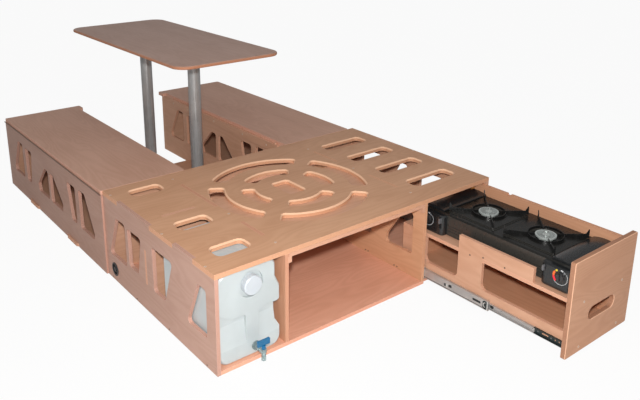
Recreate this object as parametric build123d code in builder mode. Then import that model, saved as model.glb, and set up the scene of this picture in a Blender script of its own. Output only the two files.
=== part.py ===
"""Camper module: a plywood box with a pull-out stove drawer, a water canister, two benches and a table.

Millimetres. The origin is the lower left front corner of the main box, X runs along its front, Y towards
the benches and Z up. The drawer is modelled pulled out by drawer_travel.
"""

import os
from math import sqrt

from build123d import *

# Main box
box_width = 1240
box_depth = 785
box_height = 340
top_thickness = 16
panel_thickness = 13
left_bay_width = 242
floor_setback = 10
right_bay_width = 331
seam = 0.3

# Top panel cut-outs
cut_round = 5
slot_depth = 64
slot_corner = 18
left_slot_length = 119
left_slot_offset = -2.5
left_slot_front_ys = (121, 345)
left_slot_rear_inset = 93
right_slot_length = 213
right_slot_first_y = 140
right_slot_pitch = 168
right_slot_count = 4
ring_offset_x = -6.5
ring_offset_y = 5.5
outer_ring_outside = 296
outer_ring_inside = 240
inner_ring_outside = 176
inner_ring_inside = 129
ring_corner = 14
outer_ring_wide = 42
outer_ring_narrow = 34
inner_ring_wide = 36
inner_ring_narrow = 27
eye_width = 72
eye_length = 119

# Tenons as (start, end) along the panel
left_tenons = ((125, 250), (410, 660))
right_tenons = ((148, 300), (490, 640))
cross_panel_y = 444
cross_tenon_x = (70, 195)
cross_tenon_z = (105, 235)

# Outlines of the side cut-outs as (y, z)
window_corner = 13
left_windows = (
    ((52, 103), (174, 103), (100, 268), (52, 268)),
    ((398, 103), (398, 268), (257, 268), (318, 103)),
    ((583, 117), (586, 263), (482, 263), (512, 117)),
    ((607, 103), (752, 103), (680, 268), (607, 268)),
)
right_windows = (
    ((54, 103), (192, 103), (186, 140), (104, 267), (54, 267)),
    ((212, 267), (340, 267), (340, 103), (280, 103)),
    ((416, 103), (416, 268), (462, 268), (545, 103)),
    ((565, 268), (698, 268), (698, 103), (635, 103)),
)
# The same for half a bench, as (distance from its middle, z)
bench_windows = (
    ((11, 103), (11, 237), (54, 237), (152, 138), (146, 103)),
    ((216, 265), (305, 265), (305, 105), (251, 105)),
    ((343, 103), (343, 270), (405, 270), (486, 125), (478, 103)),
)

# Board under the top, its cleats and the batten behind it
board_thickness = 12
board_depth = 500
board_gap = 1
board_side_gap = 2
cleat_width = 13
cleat_height = 20
batten_gap = 75
batten_depth = 50

# Fitting in the left side
fitting_inset = 69
fitting_z = 48
fitting_radius = 23
fitting_rim = 3
fitting_rim_thickness = 2
fitting_depth = 20
fitting_button_radius = 9

# Catch under the top
catch_side_gap = 67
catch_width = 20
catch_depth = 20
catch_setback = 3
catch_height = 10

# Screws
screw_radius = 4.5
screw_head = 0.8
left_screw_front_ys = (60, 330)
left_screw_rear_inset = 58
right_screw_front_ys = (80, 391)
right_screw_rear_inset = 105
screw_sides = 12

# Benches
bench_length = 1152
bench_proud = 7
left_bench_width = 355
right_bench_width = 366
right_bench_inset = 26
lid_gap = 2
lid_tab_reach = 22
lid_tab_length = 52
lid_tab_corner = 6
hinge_radius = 2.5
hinge_leaf = 1.2
hinge_clearance = 0.5
ledge_thickness = 15
ledge_bottom = 290
ledge_top = 327
ledge_start = 45
ledge_length = 970
ledge_screw_offsets = (-450, -258, 0, 258, 414)
peg_radius = 6
peg_height = 6
peg_inset = 20

# Cross planks and table
plank_width = 128
plank_thickness = 13
plank_reach = 6
plank_corner = 20
leg_spacing = 470
leg_radius = 27.5
leg_wall = 2
table_side_gap = 1
table_length = 1120
table_height = 750
table_thickness = 13
table_corner = 62
table_edge = 3
socket_wall = 3
socket_height = 45
socket_flange_radius = 60
socket_flange = 5
socket_clearance = 0.1
collar_height = 14

# Drawer
drawer_travel = 576
drawer_depth = 700
front_thickness = 16
front_bottom = 8
front_top = 339
front_corner = 6
front_edge = 2
front_reveal = 0.5
handle_length = 150
handle_height = 46
handle_offset = 5.5
handle_z = 127
front_screw_left_inset = 71.5
front_screw_right_inset = 64.5
front_screw_zs = (28, 187)
drawer_bottom_z = 26
drawer_floor_thickness = 9
rail_top = 85
shelf_top = 200
post_front = 333
post_width = 103
bar_front = 136
bar_top = 250
rear_block_length = 114
side_corner = 20
right_side_top = 320
right_side_notch_y = 455
right_side_notch_width = 16
right_side_notch_depth = 6
drawer_back_top = 186

# Three-member slides
slide_length = 600
slide_space = 12.7
slide_sheet = 1.3
slide_bottom = 20
outer_height = 45
middle_height = 35
inner_height = 21
member_depth = 9.5
member_play = 0.4
race_length = 200
slot_length = 36
slot_height = 8
slot_setbacks = (30, 158)
bracket_hole_radius = 2.5
bracket_hole_setbacks = (22, 36)
bracket_slot_setback = 60
bracket_slot_length = 24
bracket_slot_height = 5

# Stove
stove_front_gap = 18
stove_length = 616
stove_right_gap = 2
stove_width = 251
stove_foot = 4
stove_height = 83
stove_corner = 22
stove_edge = 5
stove_rib_length = 392
stove_rib_height = 2
stove_rib_depth = 1.5
stove_rib_zs = (16, 26, 36)
plate_gap = 30
plate_cover_gap = 1
plate_height = 4
plate_steps = 2
plate_step = 6
plate_corner = 12
burner_x = 125
bowl_border = 46
bowl_depth = 9
burner_radius = 35
burner_base_radius = 26
burner_height = 5
burner_base_height = 9
burner_slit_length = 13
burner_slit_width = 3
burner_slit_depth = 3
burner_slit_count = 12
burner_eye_radius = 10
guard_gap = 1
guard_thickness = 2.5
guard_height = 8
guard_half_angle = 39
ring_gap = 1.5
ring_width = 3
ring_height = 3
support_inset = 6
support_height = 30
support_tip = 3
support_step_height = 14
support_step_length = 11
support_head_gap = 3.5
support_inner_height = 8
support_thickness = 2.5
support_count = 4
bay_length = 72
bay_inset = 10
bay_side = 16
bay_floor = 6
cover_length = 86
cover_crown = 12
cover_edge_height = 6
cover_round = 3.5
cover_wall = 2
cover_side = 6
cover_gap = 1
cover_chamfer = 1
vent_count = 5
vent_pitch = 8
vent_width = 3
vent_length = 40
vent_inset = 34
pod_depth = 23
pod_length = 108
pod_round = 20
pod_edge = 5
knob_end_distance = 37
knob_height = 50
knob_radius = 22
knob_skirt = 26
knob_skirt_height = 3
knob_depth = 11
knob_grip = 8
knob_margin = 1
knob_pin_radius = 4
lever_end_distance = 95
lever_slot_width = 8
lever_slot_height = 46
lever_slot_depth = 6
lever_length = 20
lever_reach = 6
lever_travel = 18

# Canister
canister_gap = 4
canister_clearance = 0.3
canister_front = 12
canister_width = 226
canister_height = 308
canister_depth = 341
canister_corner = 34
canister_top_corner = 26
canister_bend = 6
canister_edge = 5
# Its right side from top to bottom as (distance in from the side, height)
canister_waist = ((17, 244), (0, 208), (0, 158), (18, 150), (18, 92), (0, 62))
recess_depth = 13
recess_corner = 9
recess_slope = 78
# The recesses beside the middle rib as (distance from the canister's left, height)
left_recess = ((-10, 182), (10, 172), (42, 152), (98, 150), (98, 52), (-10, 52))
right_recess = ((144, 52), (144, 142), (162, 157), (240, 157), (240, 52))
cap_x = 117
cap_z = 248
cap_radius = 32
cap_depth = 24
cap_wall = 3
cap_ring_radius = 44
cap_ring_depth = 8
cap_clearance = 0.4
cap_neck_length = 14
cap_groove_count = 20
cap_groove = 1.2
cap_groove_sides = 4
cap_edge = 3
tap_x = 131
tap_z = 30
tap_flange_radius = 15
tap_flange = 6
tap_radius = 9.5
tap_reach = 42
spout_radius = 7.5
spout_bore = 5
spout_drop = 30
tap_stem_radius = 3.5
tap_stem_height = 6
lever_hub_radius = 7
lever_hub_height = 12
wing_length = 46
wing_height = 20
wing_thickness = 6

# Places that follow from the sizes
top_z = box_height - top_thickness
left_divider_x = panel_thickness + left_bay_width
middle_bay_x = left_divider_x + panel_thickness
right_side_x = box_width - panel_thickness
right_bay_x = right_side_x - right_bay_width
right_divider_x = right_bay_x - panel_thickness
back_y = box_depth - panel_thickness
bench_end_y = box_depth + bench_length
bench_middle_y = box_depth + bench_length / 2
left_bench_x = -bench_proud
left_aisle_x = left_bench_x + left_bench_width
right_bench_end_x = box_width - right_bench_inset
right_aisle_x = right_bench_end_x - right_bench_width
side_top = top_z - hinge_leaf
rest_top = top_z - seam
aisle_x = (left_aisle_x + right_aisle_x) / 2
table_width = right_aisle_x - left_aisle_x - 2 * table_side_gap
left_slot_x = (panel_thickness + left_divider_x) / 2 + left_slot_offset
left_slot_ys = (*left_slot_front_ys, box_depth - left_slot_rear_inset)
right_slot_x = (right_bay_x + right_side_x) / 2
ring_x = (middle_bay_x + right_divider_x) / 2 + ring_offset_x
ring_y = box_depth / 2 + ring_offset_y
fitting_y = box_depth - fitting_inset
batten_y = board_depth + batten_gap
left_screw_ys = (*left_screw_front_ys, box_depth - left_screw_rear_inset)
right_screw_ys = (*right_screw_front_ys, box_depth - right_screw_rear_inset)
leg_ys = (bench_middle_y - leg_spacing / 2, bench_middle_y + leg_spacing / 2)
board_z = top_z - board_gap - board_thickness
drawer_front_y = -drawer_travel
drawer_rear_y = drawer_front_y + drawer_depth
drawer_left_x = right_bay_x + slide_space
drawer_right_x = right_side_x - slide_space
shelf_z = shelf_top - panel_thickness
stove_y = drawer_front_y + stove_front_gap
stove_rear_y = stove_y + stove_length
stove_right_x = drawer_right_x - panel_thickness - stove_right_gap
stove_x = stove_right_x - stove_width
stove_z = shelf_top + stove_foot
stove_top = shelf_top + stove_height
stove_middle_y = (stove_y + stove_rear_y) / 2
burner_center_x = stove_x + burner_x
plate_length = (stove_length - plate_gap) / 2 - cover_gap - cover_length - plate_cover_gap
plate_top = stove_top + plate_height
burner_spacing = plate_length + plate_gap
burner_ys = (stove_middle_y - burner_spacing / 2, stove_middle_y + burner_spacing / 2)
bowl_radius = plate_length / 2 - bowl_border
guard_radius = bowl_radius + guard_gap
support_ring_radius = guard_radius + guard_thickness + ring_gap
support_radius = plate_length / sqrt(2) - support_inset
canister_x = panel_thickness + canister_gap
canister_z = panel_thickness + canister_clearance


def board(x_start, x_end, y_start, y_end, z_start, z_end):
    """A plain rectangular board between two opposite corners."""
    with BuildPart() as blank:
        with BuildSketch(Plane.XY.offset(z_start)):
            with Locations(((x_start + x_end) / 2, (y_start + y_end) / 2)):
                Rectangle(x_end - x_start, y_end - y_start)
        extrude(amount=z_end - z_start)
    return blank.part


def span(start, end, low, high):
    """A rectangle on a sketch plane between two opposite corners."""
    with BuildSketch() as face:
        with Locations(((start + end) / 2, (low + high) / 2)):
            Rectangle(end - start, high - low)
    return face.sketch


def rounded_outline(corners, radius):
    """A closed outline through the corners, each rounded."""
    with BuildSketch() as face:
        with BuildLine():
            Polyline(*corners, close=True)
        make_face()
        fillet(face.vertices(), radius)
    return face.sketch


def plain_arc(inside, outside, middle_angle, half_angle):
    """A square-ended stretch of a ring, around the sketch origin."""
    first = middle_angle - half_angle
    last = middle_angle + half_angle
    with BuildSketch() as face:
        with BuildLine():
            near = CenterArc((0, 0), inside, first, 2 * half_angle)
            far = CenterArc((0, 0), outside, first, 2 * half_angle)
            Line(near @ 0, far @ 0)
            Line(near @ 1, far @ 1)
        make_face()
    return face.sketch


def ring_slot(inside, outside, middle_angle, half_angle):
    """One slot of a broken ring with rounded corners, around the sketch origin."""
    with BuildSketch() as face:
        add(plain_arc(inside, outside, middle_angle, half_angle))
        fillet(face.vertices(), ring_corner)
    return face.sketch


def save(part, label):
    """Names a part and writes its STEP file."""
    part.label = label
    export_step(part, f"parts/{label}.step")


os.makedirs("parts", exist_ok=True)

# Top panel: the cut-outs are rounded over before the joint cuts are made
with BuildPart() as top_panel:
    with BuildSketch(Plane.XY.offset(top_z)):
        add(span(0, box_width, 0, box_depth))
        with Locations(*[(left_slot_x, y) for y in left_slot_ys]):
            RectangleRounded(left_slot_length, slot_depth, slot_corner, mode=Mode.SUBTRACT)
        with Locations(
            *[(right_slot_x, right_slot_first_y + n * right_slot_pitch) for n in range(right_slot_count)]
        ):
            RectangleRounded(right_slot_length, slot_depth, slot_corner, mode=Mode.SUBTRACT)
        with Locations((ring_x, ring_y)):
            RectangleRounded(eye_width, eye_length, ring_corner, mode=Mode.SUBTRACT)
            for angle in (90, 270):
                add(ring_slot(outer_ring_inside, outer_ring_outside, angle, outer_ring_wide), mode=Mode.SUBTRACT)
                add(ring_slot(inner_ring_inside, inner_ring_outside, angle, inner_ring_wide), mode=Mode.SUBTRACT)
            for angle in (0, 180):
                add(ring_slot(outer_ring_inside, outer_ring_outside, angle, outer_ring_narrow), mode=Mode.SUBTRACT)
                add(ring_slot(inner_ring_inside, inner_ring_outside, angle, inner_ring_narrow), mode=Mode.SUBTRACT)
    extrude(amount=top_thickness)
    chamfer([edge for wire in top_panel.faces().sort_by(Axis.Z)[-1].inner_wires() for edge in wire.edges()], cut_round)
    with BuildSketch(Plane.XY.offset(top_z)):
        for start, end in left_tenons:
            add(span(0, panel_thickness + seam, start - seam, end + seam))
            add(span(left_divider_x - seam, middle_bay_x + seam, start - seam, end + seam))
        for start, end in right_tenons:
            add(span(right_divider_x - seam, right_bay_x + seam, start - seam, end + seam))
            add(span(right_side_x - seam, box_width, start - seam, end + seam))
        add(
            span(
                cross_tenon_x[0] - seam,
                cross_tenon_x[1] + seam,
                cross_panel_y - seam,
                cross_panel_y + panel_thickness + seam,
            )
        )
    extrude(amount=top_thickness, mode=Mode.SUBTRACT)
save(top_panel.part, "top_panel")

with BuildPart() as left_side_panel:
    with BuildSketch(Plane.YZ):
        add(span(0, box_depth, 0, top_z))
        for start, end in left_tenons:
            add(span(start, end, top_z, box_height))
        for corners in left_windows:
            add(rounded_outline(corners, window_corner), mode=Mode.SUBTRACT)
        add(
            span(
                cross_panel_y - seam,
                cross_panel_y + panel_thickness + seam,
                cross_tenon_z[0] - seam,
                cross_tenon_z[1] + seam,
            ),
            mode=Mode.SUBTRACT,
        )
        with Locations((fitting_y, fitting_z)):
            Circle(fitting_radius, mode=Mode.SUBTRACT)
    extrude(amount=panel_thickness)
save(left_side_panel.part, "left_side_panel")

with BuildPart() as right_side_panel:
    with BuildSketch(Plane.YZ.offset(right_side_x)):
        add(span(0, box_depth, 0, top_z))
        for start, end in right_tenons:
            add(span(start, end, top_z, box_height))
        for corners in right_windows:
            add(rounded_outline(corners, window_corner), mode=Mode.SUBTRACT)
    extrude(amount=panel_thickness)
save(right_side_panel.part, "right_side_panel")

with BuildPart() as left_divider:
    with BuildSketch(Plane.YZ.offset(left_divider_x)):
        add(span(0, back_y, panel_thickness, top_z))
        for start, end in left_tenons:
            add(span(start, end, top_z, box_height))
    extrude(amount=panel_thickness)
save(left_divider.part, "left_divider")

with BuildPart() as right_divider:
    with BuildSketch(Plane.YZ.offset(right_divider_x)):
        add(span(0, back_y, panel_thickness, top_z))
        for start, end in right_tenons:
            add(span(start, end, top_z, box_height))
        for corners in right_windows:
            add(rounded_outline(corners, window_corner), mode=Mode.SUBTRACT)
    extrude(amount=panel_thickness)
save(right_divider.part, "right_divider")

save(board(panel_thickness, right_side_x, back_y, box_depth, 0, top_z), "back_panel")
with BuildPart() as bottom_panel:
    with BuildSketch(Plane.XY):
        add(span(panel_thickness, right_bay_x, 0, back_y))
        add(span(right_bay_x, right_side_x, floor_setback, back_y))
    extrude(amount=panel_thickness)
save(bottom_panel.part, "bottom_panel")

with BuildPart() as bay_cross_panel:
    with BuildSketch(Plane.XZ.offset(-cross_panel_y)):
        add(span(panel_thickness, left_divider_x, panel_thickness, top_z))
        add(span(cross_tenon_x[0], cross_tenon_x[1], top_z, box_height))
        add(span(0, panel_thickness, cross_tenon_z[0], cross_tenon_z[1]))
    extrude(amount=-panel_thickness)
save(bay_cross_panel.part, "bay_cross_panel")

# Board that pulls out from under the top, on a cleat at each side
cleat_z = board_z - cleat_height
with BuildPart() as board_cleats:
    with BuildSketch(Plane.XY.offset(cleat_z)):
        add(span(middle_bay_x, middle_bay_x + cleat_width, 0, board_depth))
        add(span(right_divider_x - cleat_width, right_divider_x, 0, board_depth))
    extrude(amount=cleat_height)
save(board_cleats.part, "board_cleats")
save(
    board(
        middle_bay_x + board_side_gap,
        right_divider_x - board_side_gap,
        0,
        board_depth,
        board_z,
        board_z + board_thickness,
    ),
    "pull_out_board",
)
save(
    board(middle_bay_x, right_divider_x, batten_y, batten_y + batten_depth, board_z, top_z),
    "stop_batten",
)

# Round fitting, pressed in from the left
with BuildPart() as side_fitting:
    with BuildSketch(Plane.YZ):
        with Locations((fitting_y, fitting_z)):
            Circle(fitting_radius)
    extrude(amount=fitting_depth)
    with BuildSketch(Plane.YZ.offset(-fitting_rim_thickness)):
        with Locations((fitting_y, fitting_z)):
            Circle(fitting_radius + fitting_rim)
    extrude(amount=fitting_rim_thickness)
    with BuildSketch(Plane.YZ.offset(-fitting_rim_thickness)):
        with Locations((fitting_y, fitting_z)):
            Circle(fitting_radius - fitting_rim)
            Circle(fitting_button_radius, mode=Mode.SUBTRACT)
    extrude(amount=fitting_rim_thickness + fitting_rim, mode=Mode.SUBTRACT)
save(side_fitting.part, "side_fitting")

catch_x = right_side_x - catch_side_gap
with BuildPart() as drawer_catch:
    with BuildSketch(Plane.XY.offset(top_z - catch_height)):
        add(span(catch_x - catch_width, catch_x, catch_setback, catch_setback + catch_depth))
    extrude(amount=catch_height)
save(drawer_catch.part, "drawer_catch")

screw_columns = (
    (panel_thickness / 2, left_screw_ys),
    (left_divider_x + panel_thickness / 2, left_screw_ys),
    (right_divider_x + panel_thickness / 2, right_screw_ys),
    (right_side_x + panel_thickness / 2, right_screw_ys),
)
with BuildPart() as top_screws:
    with BuildSketch(Plane.XY.offset(box_height)):
        with Locations(*[(x, y) for x, ys in screw_columns for y in ys]):
            RegularPolygon(screw_radius, screw_sides)
    extrude(amount=screw_head)
save(top_screws.part, "top_screws")


def bench_side(x_start, top):
    """One long side of a bench, with its cut-outs and the notches for the cross planks."""
    with BuildPart() as side:
        with BuildSketch(Plane.YZ.offset(x_start)):
            add(span(box_depth, bench_end_y, 0, top))
            for corners in bench_windows:
                for facing in (-1, 1):
                    half = [(bench_middle_y + facing * distance, height) for distance, height in corners]
                    add(rounded_outline(half, window_corner), mode=Mode.SUBTRACT)
            for y in leg_ys:
                add(
                    span(y - plank_width / 2 - seam, y + plank_width / 2 + seam, 0, plank_thickness),
                    mode=Mode.SUBTRACT,
                )
        extrude(amount=panel_thickness)
    return side.part


def bench_ends(x_start, x_end):
    """The two end panels of a bench."""
    with BuildPart() as ends:
        with BuildSketch(Plane.XY):
            add(span(x_start, x_end, box_depth, box_depth + panel_thickness))
            add(span(x_start, x_end, bench_end_y - panel_thickness, bench_end_y))
        extrude(amount=rest_top)
    return ends.part


def bench_floor(x_start, x_end):
    """The floor of a bench, in pieces between the cross planks."""
    edges = [box_depth + panel_thickness]
    for y in leg_ys:
        edges += [y - plank_width / 2 - seam, y + plank_width / 2 + seam]
    edges.append(bench_end_y - panel_thickness)
    with BuildPart() as floor:
        with BuildSketch(Plane.XY):
            for start, end in zip(edges[::2], edges[1::2]):
                add(span(x_start, x_end, start, end))
        extrude(amount=plank_thickness)
    return floor.part


def bench_lid(x_start, x_end, tab_start, tab_end):
    """A lid with the tab at its inner rear corner."""
    with BuildPart() as lid:
        with BuildSketch(Plane.XY.offset(top_z)) as outline:
            add(span(x_start, x_end, box_depth + lid_gap, bench_end_y))
            add(span(tab_start, tab_end, bench_end_y - lid_tab_length, bench_end_y))
            fillet(outline.vertices(), lid_tab_corner)
        extrude(amount=top_thickness)
    return lid.part


def bench_ledge(x_start, peg_x):
    """The batten on the inner side of a bench, with its locating peg."""
    with BuildPart() as ledge:
        with BuildSketch(Plane.XY.offset(ledge_bottom)):
            add(span(x_start, x_start + ledge_thickness, box_depth + ledge_start, box_depth + ledge_start + ledge_length))
        extrude(amount=ledge_top - ledge_bottom)
        with BuildSketch(Plane.XY.offset(ledge_top)):
            with Locations((peg_x, box_depth + ledge_start + peg_inset)):
                Circle(peg_radius)
        extrude(amount=peg_height)
    return ledge.part


def lid_hinge(axis_x, leaf_start, leaf_end):
    """The barrel and the fixed leaf of a lid hinge."""
    with BuildPart() as hinge:
        with BuildSketch(Plane.XZ.offset(-box_depth - lid_gap)):
            with Locations((axis_x, top_z)):
                Circle(hinge_radius)
        extrude(amount=lid_gap - bench_length)
        with BuildSketch(Plane.XY.offset(side_top)):
            add(span(leaf_start, leaf_end, box_depth + lid_gap, bench_end_y))
        extrude(amount=hinge_leaf)
    return hinge.part


# Left bench
left_inner_x = left_aisle_x - panel_thickness
left_hinge_x = left_bench_x - hinge_radius
save(bench_side(left_bench_x, side_top), "left_bench_outer_side")
save(bench_side(left_inner_x, rest_top), "left_bench_inner_side")
save(bench_ends(left_bench_x + panel_thickness, left_inner_x), "left_bench_ends")
save(bench_floor(left_bench_x + panel_thickness, left_inner_x), "left_bench_floor")
save(
    bench_lid(
        left_bench_x + hinge_clearance,
        left_aisle_x - hinge_clearance,
        left_aisle_x - lid_tab_length,
        left_aisle_x + lid_tab_reach,
    ),
    "left_bench_lid",
)
save(bench_ledge(left_aisle_x, left_aisle_x + ledge_thickness / 2), "left_ledge")

# Right bench
right_outer_x = right_bench_end_x - panel_thickness
right_hinge_x = right_bench_end_x + hinge_radius
save(bench_side(right_outer_x, side_top), "right_bench_outer_side")
save(bench_side(right_aisle_x, rest_top), "right_bench_inner_side")
save(bench_ends(right_aisle_x + panel_thickness, right_outer_x), "right_bench_ends")
save(bench_floor(right_aisle_x + panel_thickness, right_outer_x), "right_bench_floor")
save(
    bench_lid(
        right_aisle_x + hinge_clearance,
        right_bench_end_x - hinge_clearance,
        right_aisle_x - lid_tab_reach,
        right_aisle_x + lid_tab_length,
    ),
    "right_bench_lid",
)
save(bench_ledge(right_aisle_x - ledge_thickness, right_aisle_x - ledge_thickness / 2), "right_ledge")
with BuildPart() as lid_hinges:
    add(lid_hinge(left_hinge_x, left_hinge_x, left_bench_x + panel_thickness))
    add(lid_hinge(right_hinge_x, right_outer_x, right_hinge_x))
save(lid_hinges.part, "lid_hinges")

ledge_screw_z = (ledge_bottom + ledge_top) / 2
with BuildPart() as ledge_screws:
    with BuildSketch(Plane.YZ.offset(left_aisle_x + ledge_thickness)):
        with Locations(*[(bench_middle_y + offset, ledge_screw_z) for offset in ledge_screw_offsets]):
            RegularPolygon(screw_radius, screw_sides)
    extrude(amount=screw_head)
    with BuildSketch(Plane.YZ.offset(right_aisle_x - ledge_thickness - screw_head)):
        with Locations(*[(bench_middle_y + offset, ledge_screw_z) for offset in ledge_screw_offsets]):
            RegularPolygon(screw_radius, screw_sides)
    extrude(amount=screw_head)
save(ledge_screws.part, "ledge_screws")


with BuildPart() as cross_planks:
    with BuildSketch(Plane.XY) as plank_outline:
        plank_start = left_bench_x - plank_reach
        plank_end = right_bench_end_x + plank_reach
        for y in leg_ys:
            add(span(plank_start, plank_end, y - plank_width / 2, y + plank_width / 2))
        fillet(plank_outline.vertices(), plank_corner)
    extrude(amount=plank_thickness)
save(cross_planks.part, "cross_planks")

with BuildPart() as leg_sockets:
    with BuildSketch(Plane.XY.offset(plank_thickness)):
        with Locations(*[(aisle_x, y) for y in leg_ys]):
            Circle(socket_flange_radius)
    extrude(amount=socket_flange)
    with BuildSketch(Plane.XY.offset(plank_thickness + socket_flange)):
        with Locations(*[(aisle_x, y) for y in leg_ys]):
            Circle(leg_radius + socket_clearance + socket_wall)
            Circle(leg_radius + socket_clearance, mode=Mode.SUBTRACT)
    extrude(amount=socket_height - socket_flange)
save(leg_sockets.part, "leg_sockets")

leg_foot_z = plank_thickness + socket_flange
leg_head_z = table_height - table_thickness - socket_flange
with BuildPart() as table_legs:
    with BuildSketch(Plane.XY.offset(leg_foot_z)):
        with Locations(*[(aisle_x, y) for y in leg_ys]):
            Circle(leg_radius)
            Circle(leg_radius - leg_wall, mode=Mode.SUBTRACT)
    extrude(amount=leg_head_z - leg_foot_z)
save(table_legs.part, "table_legs")

with BuildPart() as table_collars:
    with BuildSketch(Plane.XY.offset(table_height - table_thickness - socket_flange)):
        with Locations(*[(aisle_x, y) for y in leg_ys]):
            Circle(socket_flange_radius)
    extrude(amount=socket_flange)
    with BuildSketch(Plane.XY.offset(table_height - table_thickness - socket_flange - collar_height)):
        with Locations(*[(aisle_x, y) for y in leg_ys]):
            Circle(leg_radius + socket_clearance + socket_wall)
            Circle(leg_radius + socket_clearance, mode=Mode.SUBTRACT)
    extrude(amount=collar_height)
save(table_collars.part, "table_collars")

with BuildPart() as table_top:
    with BuildSketch(Plane.XY.offset(table_height - table_thickness)):
        with Locations((aisle_x, bench_middle_y)):
            RectangleRounded(table_width, table_length, table_corner)
    extrude(amount=table_thickness)
    chamfer([*table_top.faces().sort_by(Axis.Z)[-1].edges(), *table_top.faces().sort_by(Axis.Z)[0].edges()], table_edge)
save(table_top.part, "table_top")

# Drawer front with its handle slot
front_left = right_divider_x + front_reveal
front_right = box_width - front_reveal
with BuildPart() as drawer_front:
    with BuildSketch(Plane.XZ.offset(drawer_travel)) as front_outline:
        add(span(front_left, front_right, front_bottom, front_top))
        fillet(front_outline.vertices(), front_corner)
        with Locations(((front_left + front_right) / 2 + handle_offset, handle_z)):
            SlotOverall(handle_length, handle_height, mode=Mode.SUBTRACT)
    extrude(amount=front_thickness)
    chamfer(drawer_front.faces().sort_by(Axis.Y)[0].edges(), front_edge)
save(drawer_front.part, "drawer_front")

front_screw_xs = (front_left + front_screw_left_inset, front_right - front_screw_right_inset)
with BuildPart() as drawer_screws:
    with BuildSketch(Plane.XZ.offset(drawer_travel + front_thickness)):
        with Locations(*[(x, z) for x in front_screw_xs for z in front_screw_zs]):
            RegularPolygon(screw_radius, screw_sides)
    extrude(amount=screw_head)
save(drawer_screws.part, "drawer_front_screws")

# Left side of the drawer: bottom rail, upright with its bar, and rear block
post_y = drawer_front_y + post_front
block_y = drawer_rear_y - rear_block_length
bar_y = drawer_front_y + bar_front
with BuildPart() as drawer_left_side:
    with BuildSketch(Plane.YZ.offset(drawer_left_x)) as left_outline:
        add(span(drawer_front_y, drawer_rear_y, drawer_bottom_z, rail_top))
        add(span(post_y, post_y + post_width, rail_top, bar_top))
        add(span(bar_y, post_y, shelf_top, bar_top))
        add(span(block_y, drawer_rear_y, rail_top, shelf_top))
        window_feet = (post_y, post_y + post_width, block_y)
        feet = [
            vertex
            for vertex in left_outline.vertices()
            if abs(vertex.Y - rail_top) < seam and min(abs(vertex.X - y) for y in window_feet) < seam
        ]
        fillet(feet, side_corner)
    extrude(amount=panel_thickness)
save(drawer_left_side.part, "drawer_left_side")

notch_y = drawer_front_y + right_side_notch_y
with BuildPart() as drawer_right_side:
    with BuildSketch(Plane.YZ.offset(drawer_right_x - panel_thickness)):
        add(span(drawer_front_y, drawer_rear_y, drawer_bottom_z, right_side_top))
        add(
            span(
                notch_y - right_side_notch_width / 2,
                notch_y + right_side_notch_width / 2,
                right_side_top - right_side_notch_depth,
                right_side_top,
            ),
            mode=Mode.SUBTRACT,
        )
    extrude(amount=panel_thickness)
save(drawer_right_side.part, "drawer_right_side")

inner_left = drawer_left_x + panel_thickness
inner_right = drawer_right_x - panel_thickness
inner_rear = drawer_rear_y - panel_thickness
save(
    board(inner_left, inner_right, inner_rear, drawer_rear_y, drawer_bottom_z, drawer_back_top),
    "drawer_back",
)
save(
    board(
        inner_left,
        inner_right,
        drawer_front_y,
        inner_rear,
        drawer_bottom_z,
        drawer_bottom_z + drawer_floor_thickness,
    ),
    "drawer_floor",
)

# Shelf: it fills the left side between the upright and the ends
with BuildPart() as drawer_shelf:
    with BuildSketch(Plane.XY.offset(shelf_z)):
        add(span(inner_left, inner_right, drawer_front_y, drawer_rear_y))
        add(span(drawer_left_x, inner_left, drawer_front_y, post_y))
        add(span(drawer_left_x, inner_left, post_y + post_width, block_y))
    extrude(amount=panel_thickness)
save(drawer_shelf.part, "drawer_shelf")


def channel(wall_x, open_x, height, y_start):
    """A rolled slide member: a web at wall_x and two flanges that end at open_x."""
    low = slide_bottom + (outer_height - height) / 2
    inward = slide_sheet if open_x > wall_x else -slide_sheet
    with BuildPart() as member:
        with BuildSketch(Plane.XZ.offset(-y_start)):
            add(span(min(wall_x, open_x), max(wall_x, open_x), low, low + height))
            add(
                span(
                    min(wall_x + inward, open_x),
                    max(wall_x + inward, open_x),
                    low + slide_sheet,
                    low + height - slide_sheet,
                ),
                mode=Mode.SUBTRACT,
            )
        extrude(amount=-slide_length)
    return member.part


def ball_race(x_start, x_end, low, high, y_start):
    """The balls and cage between two slide members, as a pair of strips."""
    middle = slide_bottom + outer_height / 2
    with BuildPart() as race:
        with BuildSketch(Plane.XZ.offset(-y_start)):
            add(span(x_start, x_end, middle + low, middle + high))
            add(span(x_start, x_end, middle - high, middle - low))
        extrude(amount=-race_length)
    return race.part


def middle_member(wall_x, facing):
    """A middle member with its cages and the oblong window near its front end."""
    front_y = drawer_front_y / 2
    web_x = wall_x + facing * (slide_sheet + member_play)
    open_x = web_x + facing * member_depth
    near = web_x + facing * slide_sheet
    low_x = min(near, open_x)
    high_x = max(near, open_x)
    inner_half = inner_height / 2 + member_play
    middle_half = middle_height / 2
    outer_half = outer_height / 2 - slide_sheet - member_play
    with BuildPart() as member:
        add(channel(web_x, open_x, middle_height, front_y))
        add(ball_race(low_x, high_x, inner_half, middle_half - slide_sheet, front_y))
        add(ball_race(low_x, high_x, middle_half, outer_half, front_y + slide_length - race_length))
        with BuildSketch(Plane.YZ.offset(min(web_x, web_x + facing * slide_sheet))):
            with Locations(
                *[(front_y + setback + slot_length / 2, slide_bottom + outer_height / 2) for setback in slot_setbacks]
            ):
                SlotOverall(slot_length, slot_height)
        extrude(amount=slide_sheet, mode=Mode.SUBTRACT)
    return member.part


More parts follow.
